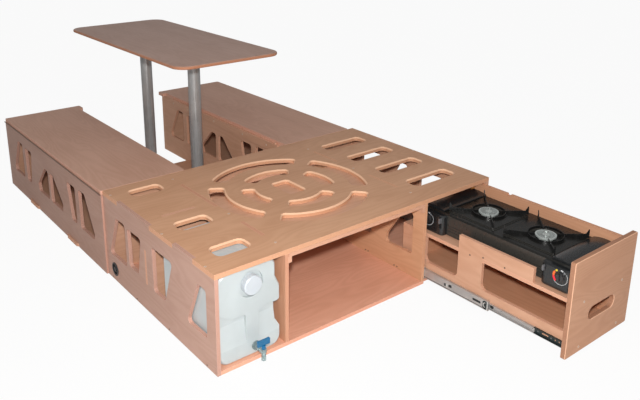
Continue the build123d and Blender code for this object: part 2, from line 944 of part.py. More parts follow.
inner_reach = slide_space - 3 * slide_sheet - 2 * member_play
with BuildPart() as slide_outer_members:
    add(channel(right_bay_x, right_bay_x + member_depth, outer_height, 0))
    add(channel(right_side_x, right_side_x - member_depth, outer_height, 0))
save(slide_outer_members.part, "slide_outer_members")

with BuildPart() as slide_middle_members:
    add(middle_member(right_bay_x, 1))
    add(middle_member(right_side_x, -1))
save(slide_middle_members.part, "slide_middle_members")



def inner_member(wall_x, open_x):
    """An inner member on the drawer's side, with the fixing holes at its front end."""
    middle = slide_bottom + outer_height / 2
    with BuildPart() as member:
        add(channel(wall_x, open_x, inner_height, drawer_front_y))
        with BuildSketch(Plane.YZ.offset(min(wall_x, wall_x + slide_sheet * (1 if open_x > wall_x else -1)))):
            with Locations(*[(drawer_front_y + setback, middle) for setback in bracket_hole_setbacks]):
                Circle(bracket_hole_radius)
            with Locations((drawer_front_y + bracket_slot_setback + bracket_slot_length / 2, middle)):
                SlotOverall(bracket_slot_length, bracket_slot_height)
        extrude(amount=slide_sheet, mode=Mode.SUBTRACT)
    return member.part


with BuildPart() as slide_inner_members:
    add(inner_member(drawer_left_x, drawer_left_x - inner_reach))
    add(inner_member(drawer_right_x, drawer_right_x + inner_reach))
save(slide_inner_members.part, "slide_inner_members")

# Stove body: a pan with a stepped plate and a bowl for each burner, and a cartridge bay at each end
bay_starts = (stove_y + bay_inset, stove_rear_y - bay_inset - bay_length)
with BuildPart() as stove_body:
    with BuildSketch(Plane.XY.offset(stove_z)):
        with Locations((stove_x + stove_width / 2, stove_middle_y)):
            RectangleRounded(stove_width, stove_length, stove_corner)
    extrude(amount=stove_top - stove_z)
    chamfer(stove_body.faces().sort_by(Axis.Z)[-1].edges(), stove_edge)
    for step in range(plate_steps):
        with BuildSketch(Plane.XY.offset(stove_top + step * plate_height / plate_steps)):
            with Locations(*[(burner_center_x, y) for y in burner_ys]):
                side = plate_length - 2 * step * plate_step
                RectangleRounded(side, side, plate_corner)
        extrude(amount=plate_height / plate_steps)
    with BuildSketch(Plane.XY.offset(plate_top - bowl_depth)):
        with Locations(*[(burner_center_x, y) for y in burner_ys]):
            Circle(bowl_radius)
    extrude(amount=bowl_depth, mode=Mode.SUBTRACT)
    with BuildSketch(Plane.XY.offset(stove_z + bay_floor)):
        for bay_y in bay_starts:
            add(span(stove_x + bay_side, stove_right_x - bay_side, bay_y, bay_y + bay_length))
    extrude(amount=stove_top - stove_z, mode=Mode.SUBTRACT)
    with BuildSketch(Plane.YZ.offset(stove_x)):
        for rib_z in stove_rib_zs:
            add(
                span(
                    stove_middle_y - stove_rib_length / 2,
                    stove_middle_y + stove_rib_length / 2,
                    stove_z + rib_z,
                    stove_z + rib_z + stove_rib_height,
                )
            )
    extrude(amount=-stove_rib_depth)
    with BuildSketch(Plane.XY.offset(shelf_top)):
        with Locations((stove_x + stove_width / 2, stove_middle_y)):
            with GridLocations(stove_width - 2 * stove_corner, stove_length - 2 * stove_corner, 2, 2):
                Circle(stove_corner / 2)
    extrude(amount=stove_foot)
save(stove_body.part, "stove_body")

# Control pods on the stove's long face
pod_starts = (stove_y, stove_rear_y - pod_length)
with BuildPart() as control_pods:
    with BuildSketch(Plane.XY.offset(shelf_top)) as pod_outline:
        for pod_y in pod_starts:
            add(span(stove_x - pod_depth, stove_x, pod_y, pod_y + pod_length))
        outer = pod_outline.vertices().group_by(Axis.X)[0]
        fillet(outer, pod_round)
    extrude(amount=stove_height - stove_edge)
    pod_rims = [*control_pods.edges().group_by(Axis.Z)[-1], *control_pods.edges().group_by(Axis.Z)[0]]
    chamfer([edge for edge in pod_rims if edge.center().X < stove_x - seam], pod_edge)
    with BuildSketch(Plane.YZ.offset(stove_x - pod_depth)):
        with Locations(
            (stove_y + lever_end_distance, shelf_top + knob_height),
            (stove_rear_y - lever_end_distance, shelf_top + knob_height),
        ):
            SlotOverall(lever_slot_height, lever_slot_width, rotation=90)
    extrude(amount=lever_slot_depth, mode=Mode.SUBTRACT)
    with BuildSketch(Plane.YZ.offset(stove_x - pod_depth - knob_skirt_height)):
        with Locations(
            (stove_y + knob_end_distance, shelf_top + knob_height),
            (stove_rear_y - knob_end_distance, shelf_top + knob_height),
        ):
            Circle(knob_pin_radius)
    extrude(amount=knob_skirt_height)
save(control_pods.part, "control_pods")


def stove_knob(y):
    """A knob with a skirt and a grip bar, on its pin."""
    face_x = stove_x - pod_depth
    center_z = shelf_top + knob_height
    with BuildPart() as knob:
        with BuildSketch(Plane.YZ.offset(face_x - seam)):
            with Locations((y, center_z)):
                Circle(knob_skirt)
        extrude(amount=-knob_skirt_height)
        with BuildSketch(Plane.YZ.offset(face_x - seam - knob_skirt_height)):
            with Locations((y, center_z)):
                Circle(knob_radius)
        extrude(amount=-(knob_depth - knob_skirt_height) / 2)
        with BuildSketch(Plane.YZ.offset(face_x - seam - (knob_depth + knob_skirt_height) / 2)):
            with Locations((y, center_z)):
                SlotOverall(2 * (knob_radius - knob_margin), knob_grip, rotation=90)
        extrude(amount=-(knob_depth - knob_skirt_height) / 2)
        with BuildSketch(Plane.YZ.offset(face_x)):
            with Locations((y, center_z)):
                Circle(knob_pin_radius + member_play)
        extrude(amount=-knob_skirt_height - seam, mode=Mode.SUBTRACT)
    return knob.part


save(stove_knob(stove_y + knob_end_distance), "front_knob")
save(stove_knob(stove_rear_y - knob_end_distance), "rear_knob")


def cartridge_lever(y):
    """The lever that locks a gas cartridge, in its slot at the upper stop."""
    center_z = shelf_top + knob_height + lever_travel / 2
    with BuildPart() as lever:
        with BuildSketch(Plane.YZ.offset(stove_x - pod_depth + lever_slot_depth - seam)):
            with Locations((y, center_z)):
                SlotOverall(lever_length, lever_slot_width - 2 * seam, rotation=90)
        extrude(amount=-lever_slot_depth - lever_reach)
    return lever.part


save(cartridge_lever(stove_y + lever_end_distance), "front_cartridge_lever")
save(cartridge_lever(stove_rear_y - lever_end_distance), "rear_cartridge_lever")


def cover_section(y_start, y_end, low, edge_high, crown_high):
    """The arched section of a cover, on a sketch plane across the stove."""
    middle = (y_start + y_end) / 2
    with BuildSketch() as face:
        with BuildLine():
            Polyline((y_end, edge_high), (y_end, low), (y_start, low), (y_start, edge_high))
            ThreePointArc((y_start, edge_high), (middle, crown_high), (y_end, edge_high))
        make_face()
    return face.sketch


def cartridge_cover(y_start):
    """An arched cover over a cartridge bay, hollow inside."""
    y_end = y_start + cover_length
    low = stove_top + seam
    edge_high = low + cover_edge_height
    crown_high = low + cover_crown
    with BuildPart() as cover:
        with BuildSketch(Plane.YZ.offset(stove_x + cover_side)) as section:
            add(cover_section(y_start, y_end, low, edge_high, crown_high))
            fillet(section.vertices().group_by(Axis.Y)[0], cover_round)
        extrude(amount=stove_width - 2 * cover_side)
        arches = [cover.faces().sort_by(Axis.X)[end].edges().sort_by(Axis.Z)[-1] for end in (0, -1)]
        chamfer(arches, cover_chamfer)
        with BuildSketch(Plane.YZ.offset(stove_x + cover_side + 2 * cover_wall)):
            inner_start = y_start + cover_wall + cover_round
            inner_end = y_end - cover_wall - cover_round
            add(cover_section(inner_start, inner_end, low, edge_high - cover_wall / 2, crown_high - cover_wall))
        extrude(amount=stove_width - 2 * cover_side - 4 * cover_wall, mode=Mode.SUBTRACT)
    return cover.part


save(cartridge_cover(stove_y + cover_gap), "front_cartridge_cover")

rear_cover_y = stove_rear_y - cover_gap - cover_length
with BuildPart() as rear_cartridge_cover:
    add(cartridge_cover(rear_cover_y))
    with BuildSketch(Plane.XY.offset(stove_top + seam)):
        with Locations((stove_x + cover_side + vent_inset, rear_cover_y + cover_length / 2)):
            with GridLocations(vent_pitch, 0, vent_count, 1):
                Rectangle(vent_width, vent_length)
    extrude(amount=2 * cover_crown, mode=Mode.SUBTRACT)
save(rear_cartridge_cover.part, "rear_cartridge_cover")

# Burner heads with radial slits around a plain eye
head_top = plate_top - bowl_depth + burner_base_height + burner_height
with BuildPart() as burner_heads:
    with BuildSketch(Plane.XY.offset(plate_top - bowl_depth)):
        with Locations(*[(burner_center_x, y) for y in burner_ys]):
            Circle(burner_base_radius)
    extrude(amount=burner_base_height)
    with BuildSketch(Plane.XY.offset(head_top - burner_height)):
        with Locations(*[(burner_center_x, y) for y in burner_ys]):
            Circle(burner_radius)
    extrude(amount=burner_height)
    with BuildSketch(Plane.XY.offset(head_top - burner_slit_depth)):
        with Locations(*[(burner_center_x, y) for y in burner_ys]):
            with PolarLocations(burner_eye_radius + burner_slit_length / 2 + burner_slit_width, burner_slit_count):
                Rectangle(burner_slit_length, burner_slit_width)
    extrude(amount=burner_slit_depth, mode=Mode.SUBTRACT)
save(burner_heads.part, "burner_heads")

# Pan supports: a ring around each bowl and four upright prongs with a raised tip
support_foot = support_radius - support_step_length
support_inner = burner_radius + support_head_gap
with BuildPart() as support_prong:
    with BuildSketch(Plane.XZ.offset(-support_thickness / 2)):
        with BuildLine():
            Polyline(
                (support_inner, 0),
                (support_radius, 0),
                (support_radius, support_height),
                (support_radius - support_tip, support_height),
                (support_foot, support_step_height),
                (support_inner, support_inner_height),
                close=True,
            )
        make_face()
    extrude(amount=support_thickness)

with BuildPart() as pan_supports:
    with BuildSketch(Plane.XY.offset(plate_top)):
        with Locations(*[(burner_center_x, y) for y in burner_ys]):
            Circle(support_ring_radius + ring_width)
            Circle(support_ring_radius, mode=Mode.SUBTRACT)
    extrude(amount=ring_height)
    with Locations(*[(burner_center_x, y, plate_top) for y in burner_ys]):
        with PolarLocations(0, support_count, 180 / support_count):
            add(support_prong.part)
save(pan_supports.part, "pan_supports")

# Low walls around the bowls, open where the prongs pass
with BuildPart() as flame_guards:
    with BuildSketch(Plane.XY.offset(plate_top)):
        for guard_y in burner_ys:
            with Locations((burner_center_x, guard_y)):
                for quarter in range(support_count):
                    add(
                        plain_arc(
                            guard_radius,
                            guard_radius + guard_thickness,
                            360 * quarter / support_count,
                            guard_half_angle,
                        )
                    )
    extrude(amount=guard_height)
save(flame_guards.part, "flame_guards")

# Canister: outline with its waist, hollow front beside the rib, neck in a round recess
canister_face = Plane(origin=(canister_x, canister_front, canister_z), x_dir=(1, 0, 0), z_dir=(0, -1, 0))
recess_side = Plane(
    origin=(canister_x - canister_waist[0][0], canister_front, canister_z), x_dir=(0, 1, 0), z_dir=(1, 0, 0)
)
recess_top = left_recess[0][1]
recess_foot = left_recess[-1][1]
with BuildPart() as canister_recesses:
    with BuildSketch(canister_face):
        for corners in (left_recess, right_recess):
            add(rounded_outline(corners, recess_corner))
    extrude(amount=-recess_depth)
    with BuildSketch(recess_side):
        with BuildLine():
            Polyline(
                (0, recess_foot),
                (0, recess_top),
                (recess_depth, recess_top),
                (recess_depth, recess_foot + recess_slope),
                close=True,
            )
        make_face()
    extrude(amount=canister_width + 2 * canister_waist[0][0], mode=Mode.INTERSECT)

with BuildPart() as canister_body:
    with BuildSketch(canister_face) as canister_outline:
        waist_points = [(canister_width - inset, height) for inset, height in canister_waist]
        with BuildLine():
            Polyline(
                (0, 0),
                (0, canister_height),
                (waist_points[0][0], canister_height),
                *waist_points,
                (canister_width, 0),
                close=True,
            )
        make_face()
        corner_rows = canister_outline.vertices().group_by(Axis.Y)
        fillet([*corner_rows[0], *corner_rows[-1].sort_by(Axis.X)[:1]], canister_corner)
        fillet(canister_outline.vertices().group_by(Axis.Y)[-1].sort_by(Axis.X)[-1:], canister_top_corner)
        bends = [
            vertex
            for vertex in canister_outline.vertices()
            if vertex.X > cap_x and recess_foot < vertex.Y < canister_waist[0][1] + seam
        ]
        fillet(bends, canister_bend)
    extrude(amount=-canister_depth)
    chamfer([*canister_body.faces().sort_by(Axis.Y)[0].edges(), *canister_body.faces().sort_by(Axis.Y)[-1].edges()], canister_edge)
    add(canister_recesses.part, mode=Mode.SUBTRACT)
    with BuildSketch(canister_face):
        with Locations((cap_x, cap_z)):
            Circle(cap_ring_radius)
            Circle(cap_radius - cap_wall - cap_clearance, mode=Mode.SUBTRACT)
    extrude(amount=-cap_ring_depth, mode=Mode.SUBTRACT)
    with BuildSketch(canister_face.offset(-cap_ring_depth)):
        with Locations((cap_x, cap_z)):
            Circle(cap_radius - cap_wall - cap_clearance)
    extrude(amount=cap_neck_length)
save(canister_body.part, "canister_body")

cap_back_y = canister_front + cap_ring_depth - seam
with BuildPart() as canister_cap:
    with BuildSketch(Plane.XZ.offset(-cap_back_y)):
        with Locations((canister_x + cap_x, canister_z + cap_z)):
            Circle(cap_radius)
    extrude(amount=cap_depth)
    chamfer(canister_cap.faces().sort_by(Axis.Y)[0].edges(), cap_edge)
    with BuildSketch(Plane.XZ.offset(-cap_back_y)):
        with Locations((canister_x + cap_x, canister_z + cap_z)):
            with PolarLocations(cap_radius, cap_groove_count):
                RegularPolygon(cap_groove, cap_groove_sides)
    extrude(amount=cap_depth, mode=Mode.SUBTRACT)
    with BuildSketch(Plane.XZ.offset(-cap_back_y)):
        with Locations((canister_x + cap_x, canister_z + cap_z)):
            Circle(cap_radius - cap_wall)
    extrude(amount=cap_neck_length, mode=Mode.SUBTRACT)
save(canister_cap.part, "canister_cap")

# Tap with its spout, and the wing lever on its stem
spout_y = canister_front - tap_reach
tap_axis_x = canister_x + tap_x
tap_axis_z = canister_z + tap_z
stem_foot_z = tap_axis_z + tap_radius
with BuildPart() as tap_body:
    with BuildSketch(Plane.XZ.offset(-canister_front)):
        with Locations((tap_axis_x, tap_axis_z)):
            Circle(tap_flange_radius)
    extrude(amount=tap_flange)
    with BuildSketch(Plane.XZ.offset(-canister_front)):
        with Locations((tap_axis_x, tap_axis_z)):
            Circle(tap_radius)
    extrude(amount=tap_reach)
    with BuildSketch(Plane.XY.offset(tap_axis_z - spout_drop)):
        with Locations((tap_axis_x, spout_y)):
            Circle(spout_radius)
    extrude(amount=spout_drop)
    with BuildSketch(Plane.XY.offset(tap_axis_z)):
        with Locations((tap_axis_x, spout_y)):
            Circle(tap_radius)
    extrude(amount=tap_radius)
    with BuildSketch(Plane.XY.offset(stem_foot_z)):
        with Locations((tap_axis_x, spout_y)):
            Circle(tap_stem_radius)
    extrude(amount=tap_stem_height)
    with BuildSketch(Plane.XY.offset(tap_axis_z - spout_drop)):
        with Locations((tap_axis_x, spout_y)):
            Circle(spout_bore)
    extrude(amount=spout_drop, mode=Mode.SUBTRACT)
save(tap_body.part, "tap_body")

with BuildPart() as tap_lever:
    with BuildSketch(Plane.XY.offset(stem_foot_z + seam)):
        with Locations((tap_axis_x, spout_y)):
            Circle(lever_hub_radius)
    extrude(amount=lever_hub_height)
    with BuildSketch(Plane.XZ.offset(-spout_y - wing_thickness / 2)) as wing:
        with Locations((tap_axis_x, stem_foot_z + lever_hub_height + wing_height / 2)):
            Rectangle(wing_length, wing_height)
        fillet(wing.vertices(), wing_thickness / 2)
    extrude(amount=wing_thickness)
    with BuildSketch(Plane.XY.offset(stem_foot_z)):
        with Locations((tap_axis_x, spout_y)):
            Circle(tap_stem_radius + cap_clearance)
    extrude(amount=tap_stem_height + seam, mode=Mode.SUBTRACT)
save(tap_lever.part, "tap_lever")
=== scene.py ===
"""Dresses the camper module: finishes for every CAD node, fine pieces, camera, lights and floor."""

from __future__ import annotations

import logging
import math
from dataclasses import dataclass, field, replace
from enum import Enum
from typing import Any, Sequence

import bmesh
import bpy
from mathutils import Matrix, Vector


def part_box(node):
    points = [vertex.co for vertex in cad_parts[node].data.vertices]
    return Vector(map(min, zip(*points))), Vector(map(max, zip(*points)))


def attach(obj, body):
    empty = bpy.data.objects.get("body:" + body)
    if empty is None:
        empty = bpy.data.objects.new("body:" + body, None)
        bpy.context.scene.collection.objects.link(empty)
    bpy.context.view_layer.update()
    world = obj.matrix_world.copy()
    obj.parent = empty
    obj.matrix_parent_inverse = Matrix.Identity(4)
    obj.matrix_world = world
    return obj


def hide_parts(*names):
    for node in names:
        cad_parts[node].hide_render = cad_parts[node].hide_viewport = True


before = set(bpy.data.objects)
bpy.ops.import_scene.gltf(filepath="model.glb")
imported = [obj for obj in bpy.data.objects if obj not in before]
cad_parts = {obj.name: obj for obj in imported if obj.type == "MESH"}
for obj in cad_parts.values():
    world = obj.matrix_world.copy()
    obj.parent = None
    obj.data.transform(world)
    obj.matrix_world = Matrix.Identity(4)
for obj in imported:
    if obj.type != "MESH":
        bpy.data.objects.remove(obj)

logging.basicConfig(level=logging.INFO, format="%(levelname)s %(message)s")
LOG = logging.getLogger("scene")

Colour = tuple[float, float, float]
Point = tuple[float, float, float]
Span = tuple[float, float]
Row = list[bmesh.types.BMVert]
WHITE: Colour = (1.0, 1.0, 1.0)


class Axis(Enum):
    """An axis of the shared frame, with its index in a vector."""

    X = 0
    Y = 1
    Z = 2


# --------------------------------------------------------------------------------------
# Node trees


class Value:
    """A node's output that takes Python's arithmetic operators.

    Args:
        graph: The graph that owns the node.
        socket: The output socket that this value reads.
    """

    def __init__(self, graph: Graph, socket: bpy.types.NodeSocket) -> None:
        """Keeps the socket and its graph."""
        self.graph = graph
        self.socket = socket

    def _math(self, operation: str, *others: Value | float, first: bool = True) -> Value:
        """Adds a Math node on this value and the others.

        Args:
            operation: The Math node's operation.
            others: The remaining operands.
            first: Whether this value is the first operand.

        Returns:
            The node's output.
        """
        operands = [self, *others] if first else [*others, self]
        return self.graph.value("ShaderNodeMath", dict(enumerate(operands)), operation=operation)

    def __add__(self, other: Value | float) -> Value:
        """Returns: the sum."""
        return self._math("ADD", other)

    __radd__ = __add__

    def __sub__(self, other: Value | float) -> Value:
        """Returns: this value less the other."""
        return self._math("SUBTRACT", other)

    def __rsub__(self, other: float) -> Value:
        """Returns: the other less this value."""
        return self._math("SUBTRACT", other, first=False)

    def __mul__(self, other: Value | float) -> Value:
        """Returns: the product."""
        return self._math("MULTIPLY", other)

    __rmul__ = __mul__

    def __abs__(self) -> Value:
        """Returns: the value without its sign."""
        return self._math("ABSOLUTE")

    def fract(self) -> Value:
        """Returns: the fractional part."""
        return self._math("FRACT")

    def above(self, limit: Value | float) -> Value:
        """Returns: 1 where this value is above the limit, else 0."""
        return self._math("GREATER_THAN", limit)

    def at_least(self, floor: Value | float) -> Value:
        """Returns: the greater of this value and the other."""
        return self._math("MAXIMUM", floor)

    def ramp(
        self, low: float, high: float, start: float = 0.0, end: float = 1.0, shape: str = "SMOOTHSTEP"
    ) -> Value:
        """Maps this value from one range to another, and holds it at the ends.

        Args:
            low: The input that gives start.
            high: The input that gives end.
            start: The output at low.
            end: The output at high.
            shape: The Map Range node's kind of interpolation.

        Returns:
            The mapped value.
        """
        sockets = dict(enumerate((self, low, high, start, end)))
        return self.graph.value("ShaderNodeMapRange", sockets, interpolation_type=shape)


class Graph:
    """A node tree, with short ways to add and link its nodes.

    Args:
        tree: The tree.
    """

    def __init__(self, tree: bpy.types.NodeTree) -> None:
        """Keeps the tree."""
        self.tree = tree

    def feed(self, socket: bpy.types.NodeSocket, value: Any) -> None:
        """Links a value to an input socket, or sets the socket to a constant.

        Args:
            socket: The input socket.
            value: A Value, a number, a colour, a vector, a word or a material.
        """
        if isinstance(value, Value):
            self.tree.links.new(value.socket, socket)
        elif isinstance(value, (tuple, list)) and len(value) == 3 and socket.type == "RGBA":
            socket.default_value = (*value, 1.0)
        else:
            socket.default_value = value

    def node(
        self, kind: str, sockets: dict[str | int, Any] | None = None, **settings: Any
    ) -> bpy.types.Node:
        """Adds a node of any kind.

        Args:
            kind: The node's bl_idname.
            sockets: What goes into its input sockets, by name or index.
            settings: Attributes that are set on it first.

        Returns:
            The new node.
        """
        made = self.tree.nodes.new(kind)
        for name, setting in settings.items():
            setattr(made, name, setting)
        for key, value in (sockets or {}).items():
            self.feed(made.inputs[key], value)
        return made

    def value(
        self,
        kind: str,
        sockets: dict[str | int, Any] | None = None,
        output: str | int = 0,
        **settings: Any,
    ) -> Value:
        """Adds a node of any kind, and reads one of its outputs.

        Args:
            kind: The node's bl_idname.
            sockets: What goes into its input sockets, by name or index.
            output: The output's name or index.
            settings: Attributes that are set on it first.

        Returns:
            The output.
        """
        return Value(self, self.node(kind, sockets, **settings).outputs[output])

    def split(self, output: str) -> tuple[Value, Value, Value]:
        """Reads a texture coordinate.

        Args:
            output: Which output of the Texture Coordinate node.

        Returns:
            Its X, Y and Z.
        """
        coordinate = self.value("ShaderNodeTexCoord", output=output)
        parts = self.node("ShaderNodeSeparateXYZ", {0: coordinate})
        return tuple(Value(self, socket) for socket in parts.outputs)

    def vector(self, x: Value | float, y: Value | float, z: Value | float) -> Value:
        """Returns: a vector of three values."""
        return self.value("ShaderNodeCombineXYZ", {"X": x, "Y": y, "Z": z})

    def noise(
        self, place: Value, scale: float, detail: float = 3.0, roughness: float = 0.5
    ) -> Value:
        """Adds fractal noise.

        Args:
            place: Where the noise is read.
            scale: Its periods in a unit of that place.
            detail: Its number of octaves.
            roughness: How strong each octave is beside the last one.

        Returns:
            The noise, from 0 to 1.
        """
        sockets = {"Vector": place, "Scale": scale, "Detail": detail, "Roughness": roughness}
        return self.value("ShaderNodeTexNoise", sockets, "Fac")

    def blend(self, factor: Value | float, first: Value | Colour, second: Value | Colour) -> Value:
        """Returns: a colour between first and second."""
        sockets = {"Factor": factor, 6: first, 7: second}
        return self.value("ShaderNodeMix", sockets, 2, data_type="RGBA", clamp_factor=True)

    def camera_ray(self) -> Value:
        """Returns: 1 for what the camera sees straight on, else 0."""
        return self.value("ShaderNodeLightPath", output="Is Camera Ray")


class Surface(Graph):
    """A material's node tree with its Principled shader.

    Args:
        name: The material's name.
    """

    def __init__(self, name: str) -> None:
        """Makes a material with a Principled shader."""
        self.material = bpy.data.materials.new(name)
        self.material.use_nodes = True
        super().__init__(self.material.node_tree)
        self.shader = self.tree.nodes["Principled BSDF"]
        self.output = self.tree.nodes["Material Output"]

    def place(self) -> Value:
        """Returns: the place on the object, as a vector."""
        return self.vector(*self.split("Object"))

    def set(self, **sockets: Value | float | Sequence[float]) -> None:
        """Feeds the Principled shader's sockets, named with underscores for spaces."""
        for name, value in sockets.items():
            self.feed(self.shader.inputs[name.replace("_", " ")], value)

    def bump(self, height: Value, strength: float, distance: float) -> None:
        """Feeds a bump from a height to the shader's normal.

        Args:
            height: The height, from 0 to 1.
            strength: The bump node's strength.
            distance: The depth of the relief in metres.
        """
        sockets = {"Strength": strength, "Distance": distance, "Height": height}
        self.set(Normal=self.value("ShaderNodeBump", sockets, "Normal"))


def toned(colour: Colour, factor: float) -> Colour:
    """Returns: a colour that is lighter or darker by a factor."""
    return tuple(channel * factor for channel in colour)


# --------------------------------------------------------------------------------------
# Finishes

# The wood's colours, before a board's own tint.
FACE_DARK: Colour = (0.585, 0.318, 0.202)
FACE_PALE: Colour = (0.680, 0.395, 0.265)
PORE: Colour = (0.38, 0.17, 0.09)
PLY_PALE: Colour = (0.80, 0.47, 0.33)
PLY_DARK: Colour = (0.60, 0.29, 0.175)
GLUE: Colour = (0.30, 0.115, 0.06)
# The pale corners: sanded wood with a painted highlight.
SANDED_AND_HIGHLIGHT: Colour = (0.92, 0.60, 0.44)
# The colour of blackened metal.
BLACKENED: Colour = (0.045, 0.058, 0.060)


@dataclass(frozen=True)
class Plywood:
    """Varnished plywood: figured faces, stripes of veneers on its edges, and pale corners that are partly
    sanded wood and partly a painted highlight.

    Attributes:
        thin: The axis across the board's thickness.
        low: The board's lower face along that axis, in metres.
        thickness: The board's thickness in metres.
        grain: The axis that the face veneer's grain runs along.
        tint: Factors on the colour of the faces and edges.
        seed: Shifts the figure, so that no two boards match.
        edge_tone: A factor on the lightness of the edges.
        edge_tint: Factors on the colour of the edges, where they differ from the faces.
        arris_highlight: How pale the corners are, as sanded wood with a painted highlight.
        plies: The number of veneers.
        ring_count: How many growth rings fit in the range of the figure's noise.
    """

    thin: Axis
    low: float
    thickness: float
    grain: Axis
    tint: Colour = WHITE
    seed: float = 0.0
    edge_tone: float = 1.0
    edge_tint: Colour | None = None
    arris_highlight: float = 0.75
    plies: int = 9
    ring_count: float = 16.0

    def tinted(self, colour: Colour) -> Colour:
        """Returns: a wood colour with this board's tint."""
        return tuple(channel * factor for channel, factor in zip(colour, self.tint))

    def sawn(self, colour: Colour) -> Colour:
        """Returns: a wood colour with the tint and tone of this board's edges."""
        tint = self.edge_tint or self.tint
        return tuple(channel * factor * self.edge_tone for channel, factor in zip(colour, tint))

    def build(self, name: str) -> bpy.types.Material:
        """Builds the material.

        Args:
            name: The material's name.

        Returns:
            The material.
        """
        graph = Surface(name)
        place = graph.split("Object")
        along = place[self.grain.value]
        third = next(axis for axis in Axis if axis not in (self.thin, self.grain))
        across = place[third.value]
        depth = place[self.thin.value]

        # The face: growth rings bent by slow noise, clouds of tone, and fine dark pores.
        drift = graph.vector(along * 1.7, across * 5.0, self.seed)
        warp = graph.noise(drift, scale=1.6, detail=2.0)
        bent = graph.vector(along * 0.9 + self.seed, across * 6.5, warp * 0.9)
        slope = graph.noise(bent, scale=1.25, detail=1.0)
        rings = abs((slope * self.ring_count).fract() - 0.5) * 2.0
        patch = graph.vector(along * 3.0, across * 9.0, self.seed + 4.0)
        cloud = graph.noise(patch, scale=1.0, detail=4.0)
        fibre = graph.vector(along * 45.0, across * 900.0, depth * 900.0)
        pores = graph.noise(fibre, scale=1.0, detail=2.0, roughness=0.7)
        figure = rings.ramp(0.0, 1.0) * 0.4 + cloud.ramp(0.25, 0.75) * 0.6
        face = graph.blend(figure, self.tinted(FACE_DARK), self.tinted(FACE_PALE))
        face = graph.blend(pores.ramp(0.56, 0.80) * 0.22, face, self.tinted(PORE))

        # The edge: pale and dark veneers in turn, with glue lines between them and saw grit.
        layer = (depth - self.low) * (self.plies / self.thickness)
        stripe = (layer * 0.5).fract().above(0.5)
        glue = abs(layer.fract() - 0.5).ramp(0.40, 0.5)
        grain = graph.vector(*(axis * 700.0 for axis in place))
        grit = graph.noise(grain, scale=1.0, detail=2.0)
        edge = graph.blend(stripe, self.sawn(PLY_PALE), self.sawn(PLY_DARK))
        edge = graph.blend(glue * 0.35 + grit.ramp(0.55, 0.8) * 0.25, edge, GLUE)

        # The corners between them, where the normal leans halfway, are paler: partly sanded wood, partly a
        # painted highlight.
        lean = abs(graph.split("Normal")[self.thin.value])
        on_edge = lean.ramp(0.92, 0.55)
        arris_highlight = abs(lean - 0.72).ramp(0.16, 0.05) * self.arris_highlight
        shade = graph.blend(on_edge, face, edge)
        graph.set(Base_Color=graph.blend(arris_highlight, shade, self.tinted(SANDED_AND_HIGHLIGHT)))
        graph.set(Roughness=pores.ramp(0.3, 0.8, 0.36, 0.50) + on_edge * 0.12)
        graph.set(Specular_IOR_Level=0.35)
        graph.bump(pores * 0.7 + glue * on_edge, strength=0.10, distance=0.0004)
        return graph.material


@dataclass(frozen=True)
class Moulded:
    """Moulded plastic with a fine grain and slightly uneven colour.

    Attributes:
        colour: The base colour.
        roughness: The mean roughness.
        grain: The size of the grain, as noise periods in a metre.
        relief: The depth of the grain in metres.
        coat: The weight of a clear coat.
        subsurface: The share of light that scatters inside.
        uneven: How much darker the darkest places are.
    """

    colour: Colour
    roughness: float = 0.45
    grain: float = 900.0
    relief: float = 0.0001
    coat: float = 0.0
    subsurface: float = 0.0
    uneven: float = 0.15

    def build(self, name: str) -> bpy.types.Material:
        """Builds the material.

        Args:
            name: The material's name.

        Returns:
            The material.
        """
        graph = Surface(name)
        place = graph.place()
        fine = graph.noise(place, scale=self.grain, detail=2.0)
        broad = graph.noise(place, scale=9.0, detail=3.0).ramp(0.3, 0.7)
        graph.set(Base_Color=graph.blend(broad, toned(self.colour, 1.0 - self.uneven), self.colour))
        graph.set(Roughness=fine.ramp(0.2, 0.8, self.roughness - 0.06, self.roughness + 0.06))
        graph.set(Coat_Weight=self.coat, Coat_Roughness=0.12)
        if self.subsurface:
            graph.set(Subsurface_Weight=self.subsurface, Subsurface_Radius=(0.02, 0.022, 0.024))
            graph.set(Subsurface_Scale=0.6)
        graph.bump(fine, strength=0.25, distance=self.relief)
        return graph.material


@dataclass(frozen=True)
class Metal:
    """Metal with brush or rolling marks along one axis.

    Attributes:
        colour: The base colour.
        roughness: The mean roughness.
        along: The axis that the marks run along.
        metallic: The metallic share.
        marks: The strength of the marks.
        dark_below: The place along the marks below which the metal is blackened, in metres.
    """

    colour: Colour
    roughness: float = 0.3
    along: Axis = Axis.Y
    metallic: float = 1.0
    marks: float = 0.5
    dark_below: float = -math.inf

    def build(self, name: str) -> bpy.types.Material:
        """Builds the material.

        Args:
            name: The material's name.

        Returns:
            The material.
        """
        graph = Surface(name)
        place = graph.split("Object")
        stretch = [1400.0] * 3
        stretch[self.along.value] = 6.0
        drawn = [axis * factor for axis, factor in zip(place, stretch)]
        marks = graph.noise(graph.vector(*drawn), scale=1.0, detail=3.0, roughness=0.6)
        stain = graph.noise(graph.vector(*place), scale=22.0, detail=4.0)
        figure = marks.ramp(0.3, 0.7) * 0.6 + stain.ramp(0.4, 0.7) * 0.4
        colour = graph.blend(figure, toned(self.colour, 0.72), self.colour)
        if math.isfinite(self.dark_below):
            bare = place[self.along.value].above(self.dark_below)
            colour = graph.blend(bare, BLACKENED, colour)
        graph.set(Base_Color=colour, Metallic=self.metallic)
        graph.set(Roughness=marks.ramp(0.2, 0.8, self.roughness * 0.7, self.roughness * 1.35))
        graph.bump(marks, strength=self.marks * 0.2, distance=0.00015)
        return graph.material


